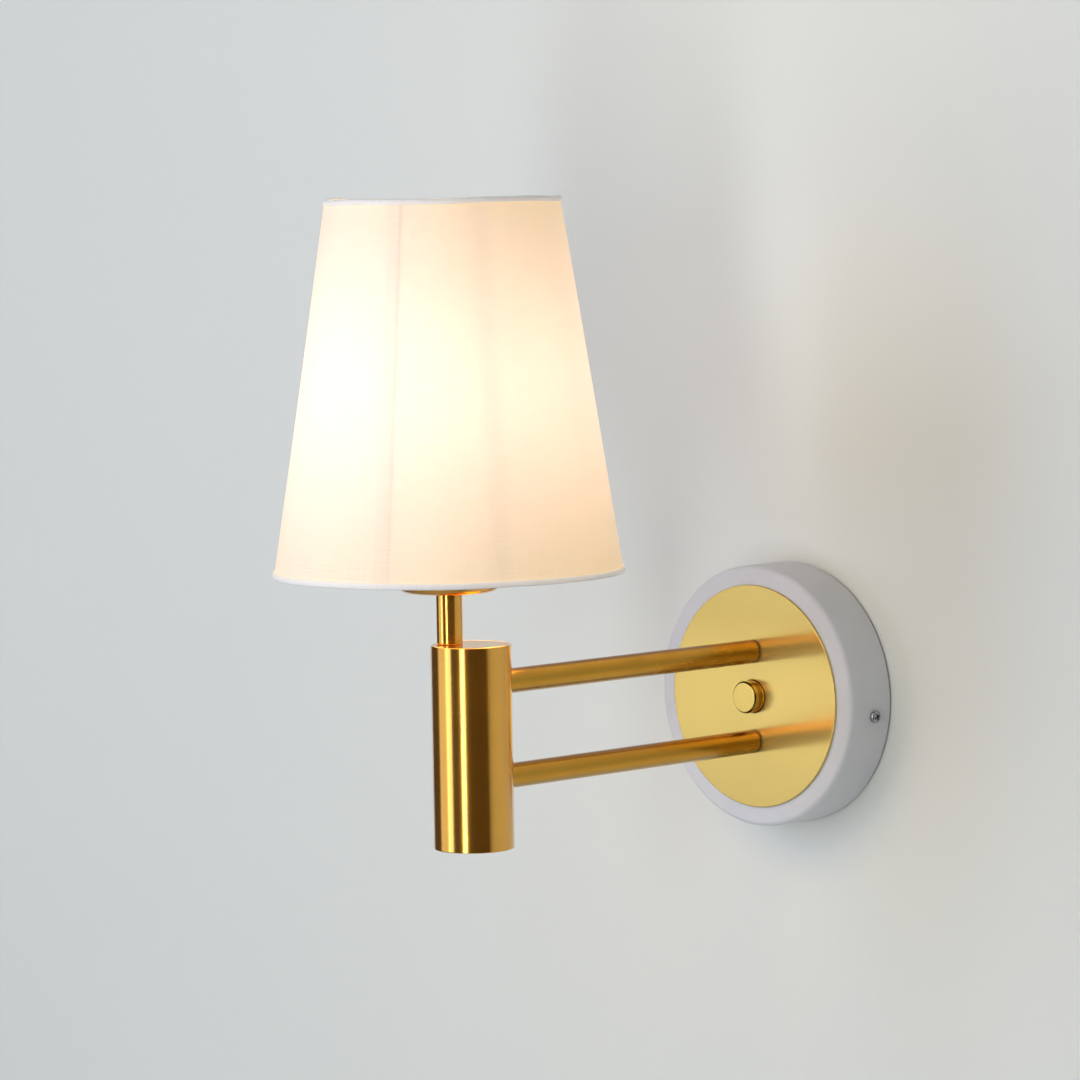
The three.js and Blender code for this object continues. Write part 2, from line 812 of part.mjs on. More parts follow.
const wallSide = new THREE.Group();
wallSide.rotation.x = Math.PI / 2;
wallSide.add(
  piece("wall_bracket", wallBracket(), "zincSteel"),
  piece("canopy_shell", canopyShell(), "whitePaint"),
  piece("canopy_screw_right", sideScrew(1), "zincSteel"),
  piece("canopy_screw_left", sideScrew(-1), "zincSteel"),
  piece("face_disc", faceDisc(), "brushedBrass"),
  piece("disc_nut", discNut(), "rawBrass"),
  piece("button_cap", buttonCap(), "brushedBrass"),
  piece("switch_plunger", switchPlunger(), "whitePlastic"),
  piece("button_spring", buttonSpring(), "zincSteel"),
  piece("switch_module", switchModule(), "blackPlastic"),
  piece("switch_lead_1", switchLead([12.2, 2, 8], [19, 1.2, 7.2], 1), "cableSleeve"),
  piece("switch_lead_2", switchLead([11.5, 5, 8], [18, 6.8, 7.2], 2), "cableSleeve"),
  piece("terminal_block", terminalBlock(), "whitePlastic"),
  piece("earth_screw", earthScrew(), "rawBrass"),
  piece("earth_lead", earthLead(), "earthSleeve"),
  piece("flex_fixed", fixedFlex(), "cableSleeve"),
);
POLES.forEach((y, i) => wallSide.add(piece(`terminal_screw_${i + 1}`, terminalScrew(y), "rawBrass")));

for (const [level, height] of [["upper", ARM.height], ["lower", -ARM.height]]) {
  const fixings = new THREE.Group();
  fixings.position.y = height;
  fixings.add(
    piece(`${level}_wall_nipple`, wallNipple(), "zincSteel"),
    piece(`${level}_wall_washer`, wallWasher(), "zincSteel"),
    piece(`${level}_wall_nut`, wallNut(), "rawBrass"),
    piece(`${level}_barrel_nipple`, barrelNipple(), "zincSteel"),
    piece(`${level}_barrel_saddle`, barrelSaddle(), "zincSteel"),
    piece(`${level}_barrel_nut`, barrelNut(), "rawBrass"),
  );
  wallSide.add(piece(`${level}_arm`, armTube(height), "satinBrass"), fixings);
}

const barrel = new THREE.Group();
barrel.position.y = -BARREL.out;
barrel.add(
  piece("barrel_tube", barrelTube(), "satinBrass"),
  piece("barrel_base_cap", barrelBaseCap(), "satinBrass"),
  piece("bearing_ring", bearingRing(), "rawBrass"),
  piece("friction_washer", frictionWasher(), "nylon"),
  piece("stop_pin", stopPin(), "zincSteel"),
);

const lamp = new THREE.Group();
lamp.position.set(STEM.right, STEM.back, 0);
lamp.add(
  piece("stem", stemTube(), "satinBrass"),
  piece("dish", dish(), "satinBrass"),
  piece("lampholder_base", lampholderBase(), "whitePlastic"),
  piece("stem_nut", stemNut(), "rawBrass"),
  piece("lampholder_body", lampholderBody(), "whitePlastic"),
  piece("lampholder_shell", lampholderShell(), "rawBrass"),
  piece("centre_contact", centreContact(), "rawBrass"),
  piece("shade_ring_nut", shadeRingNut(), "whitePlastic"),
  piece("bulb_cap", bulbCap(), "zincSteel"),
  piece("bulb_contact", bulbContact(), "rawBrass"),
  piece("bulb_glass", bulbGlass(), "frostedGlass"),
  piece("shade_frame", shadeFrame(), "whiteWire"),
  piece("shade_top_ring", wireRing(SHADE.top - 2.6), "whiteWire"),
  piece("shade_liner", shadeLiner(), "liner"),
  piece("shade_fabric", shadeFabric(), "linen"),
  piece("shade_bottom_tape", shadeTape(SHADE.bottom, SHADE.bottom + 3.1), "tape"),
  piece("shade_top_tape", shadeTape(SHADE.top, SHADE.top - 2.4), "tape"),
);

const head = new THREE.Group();
head.position.y = -BARREL.out;
head.add(
  piece("turret_cap", turretCap(), "satinBrass"),
  piece("retaining_clip", retainingClip(), "zincSteel"),
  piece("flex_head", headFlex(), "cableSleeve"),
  lamp,
);

const sconce = new THREE.Group();
sconce.add(wallSide, barrel, head);

export default sconce;
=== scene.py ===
"""Looks of the wall sconce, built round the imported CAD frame.

The scene is in metres, in the shared frame: +X right when facing the wall, +Y into the wall, +Z up, and the
origin on the wall. Piece dimensions are in millimetres, as in the CAD source, and are scaled when a mesh is
made. Depths from the wall (fronts, backs, starts) are positive away from it, towards -Y.
"""

import json
import math

import bmesh
import bpy
from mathutils import Matrix, Vector


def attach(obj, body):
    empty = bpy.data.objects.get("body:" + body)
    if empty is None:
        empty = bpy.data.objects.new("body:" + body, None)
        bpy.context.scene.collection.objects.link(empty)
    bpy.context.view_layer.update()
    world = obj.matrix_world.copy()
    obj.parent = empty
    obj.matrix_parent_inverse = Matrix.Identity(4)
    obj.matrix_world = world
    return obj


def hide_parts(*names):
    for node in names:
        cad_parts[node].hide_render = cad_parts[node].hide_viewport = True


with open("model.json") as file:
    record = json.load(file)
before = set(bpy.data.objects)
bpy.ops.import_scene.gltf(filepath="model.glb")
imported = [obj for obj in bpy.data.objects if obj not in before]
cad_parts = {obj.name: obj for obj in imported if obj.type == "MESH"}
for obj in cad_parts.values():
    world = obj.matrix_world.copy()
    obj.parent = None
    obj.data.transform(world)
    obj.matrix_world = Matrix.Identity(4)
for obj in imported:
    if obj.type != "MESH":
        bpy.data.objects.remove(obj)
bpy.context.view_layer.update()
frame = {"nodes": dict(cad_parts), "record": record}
MM = 0.001

# ---------------------------------------------------------------- dimensions, as in the CAD source

CANOPY_R, CANOPY_DEPTH, CANOPY_WALL = 60.0, 26.0, 1.5
DISC_R, DISC_FRONT, DISC_BACK = 51.2, 27.2, 26.2
COLLAR_R, COLLAR_BACK = 9.5, 14.0
BUTTON_R, BUTTON_FRONT, BUTTON_BACK = 7.4, 33.4, 18.5
ARM_R, ARM_BORE, ARM_HEIGHT, ARM_START = 5.4, 4.2, 20.7, 27.4
BARREL_R, BARREL_BORE, BARREL_OUT = 17.45, 16.15, 201.0
BARREL_LOW, BARREL_HIGH = -49.8, 38.5
STEM_R, SPIGOT_R, STEM_BORE = 5.65, 3.7, 2.6
LAMP_X, LAMP_Y = -7.7, -206.1
BARREL_Y = -BARREL_OUT
DISH_R, DISH_LOW, DISH_RIM = 22.2, 61.2, 65.6
HOLDER_R, THREAD_R, SHOULDER, HOLDER_TOP, HOLDER_BORE = 15.2, 13.9, 95.0, 107.0, 8.7
BULB_R, BULB_Z = 22.5, 138.0
SHADE_LOW, SHADE_HIGH, SHADE_LOW_R, SHADE_HIGH_R = 68.6, 230.2, 76.2, 51.2
TAPE, FABRIC, LINER, SKIN_GAP = 0.5, 0.6, 0.5, 0.2
BOTTOM_BAND, TOP_BAND = 2.6, 2.4
WIRE_R, WIRE_INSET, SPOKE_R = 1.3, 2.6, 1.1
PLATE_R = 52.0
SCREW_OUT = 10.5
SIDE_TURN = math.radians(6)

# The lit shade: the glow's height and spread, its colours, and the seams of the linen and the liner.
GLOW_Z, GLOW_SPREAD = 153.5, 60.0
GLOW_EDGE, GLOW_CORE = (0.43, 0.25, 0.045), (1.0, 0.61, 0.38)
SEAM_ANGLE = math.radians(-64.5)
LINER_SEAM_ANGLE = math.radians(-24.0)
LAP_HALF, SEAM_R = 3.4, 64.0
STITCH_ANGLE = SEAM_ANGLE + LAP_HALF / SEAM_R

# ---------------------------------------------------------------- mesh code


def fillet(points, steps=6):
    """Rounds a profile's corners. Each point is (radius, height) or (radius, height, fillet radius)."""
    out = []
    for i, p in enumerate(points):
        size = p[2] if len(p) > 2 else 0
        here = Vector(p[:2])
        if not size or i in (0, len(points) - 1):
            out.append(tuple(here))
            continue
        before = (Vector(points[i - 1][:2]) - here).normalized()
        after = (Vector(points[i + 1][:2]) - here).normalized()
        half = before.angle(after) / 2
        reach = size / math.tan(half)
        centre = here + (before + after).normalized() * (size / math.sin(half))
        start, end = here + before * reach - centre, here + after * reach - centre
        turn = start.angle_signed(end)
        for k in range(steps + 1):
            spin = Matrix.Rotation(-turn * k / steps, 2)
            out.append(tuple(centre + spin @ start))
    return out


def arc(r0, h0, size, start, end, steps):
    """Points on an arc in the profile plane, with angles in degrees."""
    span = [math.radians(start + (end - start) * k / steps) for k in range(steps + 1)]
    return [(r0 + size * math.cos(a), h0 + size * math.sin(a)) for a in span]


def shaded(obj, sharp=35.0):
    """Smooth shading, with edges sharper than so many degrees kept sharp."""
    for face in obj.data.polygons:
        face.use_smooth = True
    obj.data.set_sharp_from_angle(angle=math.radians(sharp))
    return obj


def from_bmesh(name, bm, sharp=35.0):
    """Makes an object of a bmesh, with its faces turned outwards, and frees the bmesh."""
    bmesh.ops.recalc_face_normals(bm, faces=bm.faces)
    mesh = bpy.data.meshes.new(name)
    bm.to_mesh(mesh)
    bm.free()
    obj = bpy.data.objects.new(name, mesh)
    bpy.context.scene.collection.objects.link(obj)
    return shaded(obj, sharp)


def loft(name, rings, loop=True, caps=False, sharp=35.0):
    """Skins rings of equal length. loop joins the last ring to the first. A ring of one point is a pole."""
    bm = bmesh.new()
    uv = bm.loops.layers.uv.new("UVMap")
    rows = [[bm.verts.new([c * MM for c in p]) for p in ring] for ring in rings]
    count = max(len(r) for r in rows)
    width = max(sum((Vector(r[k]) - Vector(r[k - 1])).length for k in range(len(r))) for r in rings)
    run = [0.0]
    for a, b in zip(rings, rings[1:] + rings[:1]):
        run.append(run[-1] + (Vector(a[0]) - Vector(b[0])).length)
    last = len(rows) if loop else len(rows) - 1
    for i in range(last):
        low, high = rows[i], rows[(i + 1) % len(rows)]
        for k in range(count):
            n = (k + 1) % count
            corners = []
            for row, v in ((low, run[i]), (high, run[i + 1])):
                pair = ((row[0], k + 0.5),) if len(row) == 1 else ((row[k], k), (row[n], k + 1))
                corners.append([(vert, u * width / count, v) for vert, u in pair])
            ordered = corners[0] + corners[1][::-1]
            if len(ordered) < 3:
                continue
            face = bm.faces.new([c[0] for c in ordered])
            for corner, (_, u, v) in zip(face.loops, ordered):
                corner[uv].uv = (u * MM, v * MM)
    if caps:
        bm.faces.new(rows[0])
        bm.faces.new(rows[-1][::-1])
    return from_bmesh(name, bm, sharp)


def held(profile, reach=0.4):
    """Adds points close to both ends of long straight runs, so that a rounded corner's smooth shading doesn't
    bend the flat face beside it."""
    closed = profile[0][0] > 1e-6
    points = []
    for (r0, h0), (r1, h1) in zip(profile, profile[1:] + (profile[:1] if closed else [])):
        points.append((r0, h0))
        length = math.hypot(r1 - r0, h1 - h0)
        if length > 4 * reach:
            for t in (reach / length, 1 - reach / length):
                points.append((r0 + (r1 - r0) * t, h0 + (h1 - h0) * t))
    return points if closed else points + profile[-1:]


def turned(name, profile, centre=(0, 0), facing="up", segments=128, ripple=None, sharp=35.0):
    """A turned piece. The profile is (radius, height) points, and closes on itself unless it starts on the
    axis. facing says which way the axis points: see place. ripple moves single points of a ring."""
    rings = []
    for radius, height in held(profile) if ripple is None else profile:
        if radius < 1e-6:
            rings.append([place(0, 0, height, centre, facing)])
            continue
        ring = []
        for k in range(segments):
            angle = math.pi / 2 + 2 * math.pi * k / segments
            r, h = (radius, height) if ripple is None else ripple(radius, height, angle)
            ring.append(place(r * math.cos(angle), r * math.sin(angle), h, centre, facing))
        rings.append(ring)
    return loft(name, rings, loop=len(rings[0]) > 1, sharp=sharp)


def place(x, y, h, centre, facing):
    """A turned point in the scene's axes. up turns about Z through centre, out about the wall's normal, and
    right and left about X at the side screws' distance from the wall."""
    if facing == "up":
        return (x + centre[0], y + centre[1], h)
    if facing == "out":
        return (x + centre[0], -h, y + centre[1])
    return (h, x - SCREW_OUT, y) if facing == "right" else (-h, x - SCREW_OUT, y)


def block(size, at, turn=None):
    """A box in millimetres, turned by a matrix and then moved, for cutting or joining with carve."""
    bm = bmesh.new()
    bmesh.ops.create_cube(bm, size=1.0)
    bmesh.ops.scale(bm, vec=[s * MM for s in size], verts=bm.verts)
    if turn is not None:
        bmesh.ops.rotate(bm, cent=(0, 0, 0), matrix=turn, verts=bm.verts)
    bmesh.ops.translate(bm, vec=[a * MM for a in at], verts=bm.verts)
    return from_bmesh("cutter", bm)


def carve(obj, *tools, operation="DIFFERENCE"):
    """Cuts the tools out of obj, or joins them to it, and removes them."""
    for tool in tools:
        cutter = obj.modifiers.new("cut", "BOOLEAN")
        cutter.object = tool
        cutter.operation = operation
        cutter.solver = "EXACT"
    dg = bpy.context.evaluated_depsgraph_get()
    mesh = bpy.data.meshes.new_from_object(obj.evaluated_get(dg))
    obj.modifiers.clear()
    obj.data = mesh
    for tool in tools:
        bpy.data.objects.remove(tool)
    return shaded(obj)


def swept(name, points, radius, sides=16, loop=False, sharp=35.0):
    """A round bar along points, with flat ends unless it is a loop."""
    line = [Vector(p) for p in points]
    rings = []
    up = Vector((0, 0, 1))
    for i, p in enumerate(line):
        a = line[i - 1] if loop or i else p
        b = line[(i + 1) % len(line)] if loop or i < len(line) - 1 else p
        along = (b - a).normalized()
        side = along.cross(up)
        side = side.normalized() if side.length > 1e-4 else Vector((1, 0, 0))
        over = side.cross(along)
        turns = [2 * math.pi * k / sides for k in range(sides)]
        rings.append([tuple(p + (side * math.cos(t) + over * math.sin(t)) * radius) for t in turns])
    return loft(name, rings, loop=loop, caps=not loop, sharp=sharp)


# ---------------------------------------------------------------- materials


class Nodes:
    """Small helper that builds one Principled material from procedural nodes."""

    def __init__(self, name, color, rough, metallic=0.0, **sockets):
        """Further sockets are named in lower case, with underscores for spaces."""
        self.material = bpy.data.materials.new(name)
        self.material.use_nodes = True
        self.tree = self.material.node_tree
        self.shader = next(n for n in self.tree.nodes if n.type == "BSDF_PRINCIPLED")
        self.put("Base Color", (*color, 1))
        self.put("Roughness", rough)
        self.put("Metallic", metallic)
        for key, value in sockets.items():
            self.put(key.replace("_", " ").title().replace("Ior", "IOR"), value)
        self.coordinates = self.tree.nodes.new("ShaderNodeTexCoord")

    def put(self, socket, value):
        """Sets a constant on the shader."""
        self.shader.inputs[socket].default_value = value

    def link(self, a, b):
        """Links an output to an input."""
        self.tree.links.new(a, b)

    def space(self, scale, source="Object"):
        """Coordinates in millimetres, times scale on each axis."""
        mapping = self.tree.nodes.new("ShaderNodeMapping")
        mapping.inputs["Scale"].default_value = [s / MM for s in scale]
        self.link(self.coordinates.outputs[source], mapping.inputs["Vector"])
        return mapping.outputs["Vector"]

    def noise(self, scale, detail=3.0, source="Object", rough=0.5):
        """Noise whose cells are about 1 / scale millimetres on each axis, from 0 to 1 about a mean of 0.5."""
        node = self.tree.nodes.new("ShaderNodeTexNoise")
        node.inputs["Scale"].default_value = 1.0
        node.inputs["Detail"].default_value = detail
        node.inputs["Roughness"].default_value = rough
        self.link(self.space(scale, source), node.inputs["Vector"])
        return node.outputs["Fac"]

    def math(self, operation, a, b=0.0, c=0.0):
        """A math node on numbers or sockets."""
        node = self.tree.nodes.new("ShaderNodeMath")
        node.operation = operation
        for socket, value in zip(node.inputs, (a, b, c)):
            if isinstance(value, (int, float)):
                socket.default_value = value
            else:
                self.link(value, socket)
        return node.outputs[0]

    def span(self, value, low, high, to_low, to_high, smooth=False):
        """Maps low..high to to_low..to_high, and holds the ends."""
        node = self.tree.nodes.new("ShaderNodeMapRange")
        node.interpolation_type = "SMOOTHSTEP" if smooth else "LINEAR"
        self.link(value, node.inputs["Value"])
        for name, x in zip(("From Min", "From Max", "To Min", "To Max"), (low, high, to_low, to_high)):
            node.inputs[name].default_value = x
        return node.outputs["Result"]

    def tint(self, amount, dark, light, socket="Base Color"):
        """Puts a colour between two tones on a socket."""
        node = self.tree.nodes.new("ShaderNodeMix")
        node.data_type = "RGBA"
        self.link(amount, node.inputs["Factor"])
        node.inputs["A"].default_value = (*dark, 1)
        node.inputs["B"].default_value = (*light, 1)
        self.link(node.outputs["Result"], self.shader.inputs[socket])
        return self

    def shade(self, amount, color):
        """Mixes the base colour made so far towards color by amount, for painted shade and highlight strips.
        """
        target = self.shader.inputs["Base Color"]
        source = target.links[0].from_socket
        mix = self.tree.nodes.new("ShaderNodeMix")
        mix.data_type = "RGBA"
        self.link(amount, mix.inputs["Factor"])
        self.link(source, mix.inputs["A"])
        mix.inputs["B"].default_value = (*color, 1)
        self.link(mix.outputs["Result"], target)

    def roughen(self, value, low, high):
        """Roughness from low to high along with a noise value."""
        self.link(self.span(value, 0.3, 0.7, low, high), self.shader.inputs["Roughness"])
        return self

    def bump(self, value, height, strength=1.0):
        """Bump whose full range is height millimetres."""
        node = self.tree.nodes.new("ShaderNodeBump")
        node.inputs["Strength"].default_value = strength
        node.inputs["Distance"].default_value = height * MM
        self.link(value, node.inputs["Height"])
        self.link(node.outputs["Normal"], self.shader.inputs["Normal"])
        return self

    def tangent(self, axis):
        """Stretches the highlights round an axis."""
        node = self.tree.nodes.new("ShaderNodeTangent")
        node.direction_type = "RADIAL"
        node.axis = axis
        self.link(node.outputs["Tangent"], self.shader.inputs["Tangent"])
        return self


def scaled(color, k):
    """A colour times k."""
    return tuple(min(1.0, c * k) for c in color)


def metal(name, color, rough, grain, depth=0.004, spread=0.03, anisotropic=0.0, around=None, tone=0.06,
          bands=0.0, painted_light_strips=(), metallic=1.0, **sockets):
    """A brushed or drawn metal. grain is the streaks per millimetre on X, Y and Z. tone is how far its colour
    wanders each way. bands makes that wander follow broad streaks, at this share of the fine ones' frequency.
    The strips paint shade and highlight: each is an axis, a centre and a width in millimetres, and the
    colour."""
    n = Nodes(name, color, rough, metallic, anisotropic=anisotropic, **sockets)
    streaks = n.noise(grain, detail=4, rough=0.6)
    patina = n.noise([g * bands for g in grain] if bands else (0.05,) * 3, detail=2)
    mixed = n.math("ADD", n.math("MULTIPLY", streaks, 0.45), n.math("MULTIPLY", patina, 0.55))
    n.tint(n.span(mixed, 0.35, 0.65, 0.0, 1.0), scaled(color, 1 - tone), scaled(color, 1 + tone))
    # Painted shade and highlight strips, mixed into the base colour.
    for axis, centre, width, painted_light_color in painted_light_strips:
        n.shade(gaussian(n, position_mm(n).outputs[axis], centre, width), painted_light_color)
    n.roughen(mixed, rough - spread, rough + spread)
    n.bump(streaks, depth, 0.6)
    if around:
        n.tangent(around)
    return n.material


SATIN = (0.765, 0.375, 0.024)
BRUSHED = (0.765, 0.56, 0.165)
LACQUER = {"coat_weight": 1.0, "coat_roughness": 0.16, "coat_ior": 1.62}


def paint(name, color, rough, texture=0.5, depth=0.02, **sockets):
    """Sprayed paint or moulded plastic with a fine orange-peel surface."""
    n = Nodes(name, color, rough, 0.0, **sockets)
    peel = n.noise((texture,) * 3, detail=3)
    cloud = n.noise((0.03,) * 3, detail=2)
    n.tint(n.span(cloud, 0.3, 0.7, 0, 1), scaled(color, 0.965), scaled(color, 1.02))
    n.roughen(peel, rough - 0.05, rough + 0.05)
    n.bump(peel, depth, 0.5)
    return n.material


def gaussian(n, value, centre, width):
    """exp(-((value - centre) / width)^2) from math nodes."""
    offset = n.math("DIVIDE", n.math("SUBTRACT", value, centre), width)
    return n.math("EXPONENT", n.math("MULTIPLY", n.math("MULTIPLY", offset, offset), -1.0))


def position_mm(n):
    """A node whose outputs X, Y and Z are the point's place on the resting lamp, in millimetres."""
    split = n.tree.nodes.new("ShaderNodeSeparateXYZ")
    n.link(n.space((1, 1, 1)), split.inputs[0])
    return split


def stripe(n, at, angle, half_width, soft):
    """1 on a vertical stripe of the shade at an angle about its axis, 0 away from it. at is position_mm."""
    x = n.math("SUBTRACT", at.outputs["X"], LAMP_X)
    y = n.math("SUBTRACT", at.outputs["Y"], LAMP_Y)
    cos, sin = math.cos(angle), math.sin(angle)
    across = n.math("ADD", n.math("MULTIPLY", x, -sin), n.math("MULTIPLY", y, cos))
    along = n.math("ADD", n.math("MULTIPLY", x, cos), n.math("MULTIPLY", y, sin))
    near = n.span(n.math("ABSOLUTE", across), half_width - soft, half_width + soft, 1.0, 0.0, True)
    return n.math("MULTIPLY", near, n.math("GREATER_THAN", along, 0.0))


def linen():
    """Lit linen: plain weave with slubs, a lapped and stitched seam, and the glow of the lamp behind it."""
    n = Nodes("linen", (0.86, 0.84, 0.80), 0.9, sheen_weight=0.25, sheen_roughness=0.6)
    warp = n.noise((1.5, 0.05, 1), detail=3, source="UV", rough=0.65)
    weft = n.noise((0.06, 1.7, 1), detail=3, source="UV", rough=0.65)
    threads = n.math("ADD", n.math("MULTIPLY", warp, 0.42), n.math("MULTIPLY", weft, 0.58))
    cloud = n.noise((0.02, 0.02, 0.012), detail=2)
    n.tint(n.span(threads, 0.38, 0.62, 0, 1), (0.63, 0.62, 0.60), (0.70, 0.69, 0.67))
    at = position_mm(n)
    n.tint(gaussian(n, at.outputs["Z"], GLOW_Z, GLOW_SPREAD), GLOW_EDGE, GLOW_CORE, "Emission Color")
    glow = n.span(threads, 0.35, 0.65, 1.01, 1.09)
    glow = n.math("MULTIPLY", glow, n.span(cloud, 0.3, 0.7, 0.95, 1.04))
    lap = (SEAM_ANGLE, LAP_HALF, 0.8, 0.10)
    stitch = (STITCH_ANGLE, 0.7, 0.4, 0.16)
    shadow = (SEAM_ANGLE, 8.0, 6.0, 0.06)
    liner_lap = (LINER_SEAM_ANGLE, 4.0, 3.5, 0.10)
    for angle, half_width, soft, dimming in (lap, stitch, shadow, liner_lap):
        factor = n.math("MULTIPLY_ADD", stripe(n, at, angle, half_width, soft), -dimming, 1.0)
        glow = n.math("MULTIPLY", glow, factor)
    n.link(glow, n.shader.inputs["Emission Strength"])
    weave = [n.tree.nodes.new("ShaderNodeTexWave") for _ in range(2)]
    for wave, way in zip(weave, ("X", "Y")):
        wave.bands_direction = way
        wave.inputs["Scale"].default_value = 0.52
        wave.inputs["Distortion"].default_value = 0.6
        wave.inputs["Detail"].default_value = 1.0
        n.link(n.space((1, 1, 1), "UV"), wave.inputs["Vector"])
    fine = n.math("MULTIPLY", weave[0].outputs["Fac"], weave[1].outputs["Fac"])
    n.bump(n.math("ADD", threads, n.math("MULTIPLY", fine, 0.35)), 0.12, 0.7)
    return n.material


def liner_film():
    """The stiff film inside the linen, lit by the bulb."""
    n = Nodes("shade_liner", (0.88, 0.86, 0.80), 0.45)
    cloud = n.noise((0.03, 0.03, 0.03), detail=2)
    n.tint(cloud, (0.84, 0.82, 0.76), (0.92, 0.90, 0.84))
    glow = n.math("MULTIPLY_ADD", gaussian(n, position_mm(n).outputs["Z"], GLOW_Z - 6, 42.0), 1.6, 0.9)
    glow = n.math("MULTIPLY", glow, n.span(cloud, 0.3, 0.7, 0.95, 1.04))
    n.put("Emission Color", (1.0, 0.72, 0.42, 1))
    n.link(glow, n.shader.inputs["Emission Strength"])
    n.bump(n.noise((0.8,) * 3), 0.02, 0.4)
    return n.material


def tape_cloth():
    """The hems' ribbed tape, with a little of the linen's glow near its inner edge."""
    n = Nodes("edge_tape", (0.80, 0.80, 0.79), 0.92, sheen_weight=0.3)
    ribs = n.noise((1.6, 0.12, 1), detail=3, source="UV", rough=0.6)
    cross = n.noise((0.15, 2.0, 1), detail=3, source="UV", rough=0.6)
    both = n.math("ADD", n.math("MULTIPLY", ribs, 0.5), n.math("MULTIPLY", cross, 0.5))
    n.tint(n.span(both, 0.35, 0.65, 0, 1), (0.76, 0.76, 0.755), (0.86, 0.86, 0.85))
    n.put("Emission Color", (1.0, 0.72, 0.50, 1))
    middle = (SHADE_LOW + SHADE_HIGH) / 2
    half_tall = middle - SHADE_LOW
    from_middle = n.math("ABSOLUTE", n.math("SUBTRACT", position_mm(n).outputs["Z"], middle))
    glow = n.span(from_middle, half_tall - BOTTOM_BAND, half_tall, 0.30, 0.02)
    n.link(glow, n.shader.inputs["Emission Strength"])
    n.bump(both, 0.15, 0.7)
    return n.material


def frosted():
    """The lit bulb's frosted glass, brightest at its middle."""
    n = Nodes("frosted_glass", (0.95, 0.93, 0.88), 0.35)
    core = gaussian(n, position_mm(n).outputs["Z"], BULB_Z, 24.0)
    frost = n.noise((0.6,) * 3, detail=3)
    n.put("Emission Color", (1.0, 0.80, 0.54, 1))
    lit = n.math("MULTIPLY", n.math("MULTIPLY_ADD", core, 5.0, 3.0), n.span(frost, 0.3, 0.7, 0.96, 1.03))
    n.link(lit, n.shader.inputs["Emission Strength"])
    n.tint(frost, (0.92, 0.89, 0.83), (0.97, 0.95, 0.91))
    n.roughen(frost, 0.3, 0.42)
    return n.material


def cable_rubber(name, color, stripe_color=None):
    """A wire's sleeve, in one colour or two."""
    n = Nodes(name, color, 0.5)
    twist = n.noise((0.9, 0.25, 0.9), detail=2)
    n.tint(n.span(twist, 0.45, 0.55, 0, 1), stripe_color or color, scaled(color, 1.05))
    n.roughen(twist, 0.42, 0.58)
    n.bump(twist, 0.03, 0.5)
    return n.material


TURNED_BRASS = metal(
    "satin_brass_turned", SATIN, 0.2, grain=(0.15, 0.15, 3.5), depth=0.002, spread=0.02,
    anisotropic=0.6, anisotropic_rotation=0.25, around="Z", **LACQUER,
)
DRAWN_BRASS = metal(
    "satin_brass_drawn", (0.69, 0.345, 0.045), 0.25, grain=(1.6, 0.05, 1.6), depth=0.006, spread=0.05,
    anisotropic=0.4, around="Y", tone=0.12,
    painted_light_strips=[
        # Painted reflection and shade streaks along each arm: darker along the middle, greyer below it, and a
        # dark line just under the top.
        *[("Z", side * ARM_HEIGHT + 0.6, 1.8, (0.47, 0.255, 0.035)) for side in (1, -1)],
        *[("Z", side * ARM_HEIGHT - 4.0, 1.3, (0.40, 0.255, 0.06)) for side in (1, -1)],
        *[("Z", side * ARM_HEIGHT + 5.1, 0.6, (0.30, 0.12, 0.015)) for side in (1, -1)],
        # Painted contact shadow where the arm meets the face plate.
        ("Y", -ARM_START, 0.9, (0.05, 0.02, 0.003)),
    ],
)
# The face plate's colour is darkened above and below, with a painted highlight band across its middle round
# the button.
DISC_BRASS = metal(
    "brushed_brass", scaled(BRUSHED, 0.88), 0.21, grain=(0.10, 1.0, 3.2), depth=0.003, spread=0.03,
    anisotropic=0.85, around="Z", tone=0.1, bands=0.012, metallic=0.72,
    painted_light_strips=[("Z", 0, 36, scaled(BRUSHED, 1.07))],
)
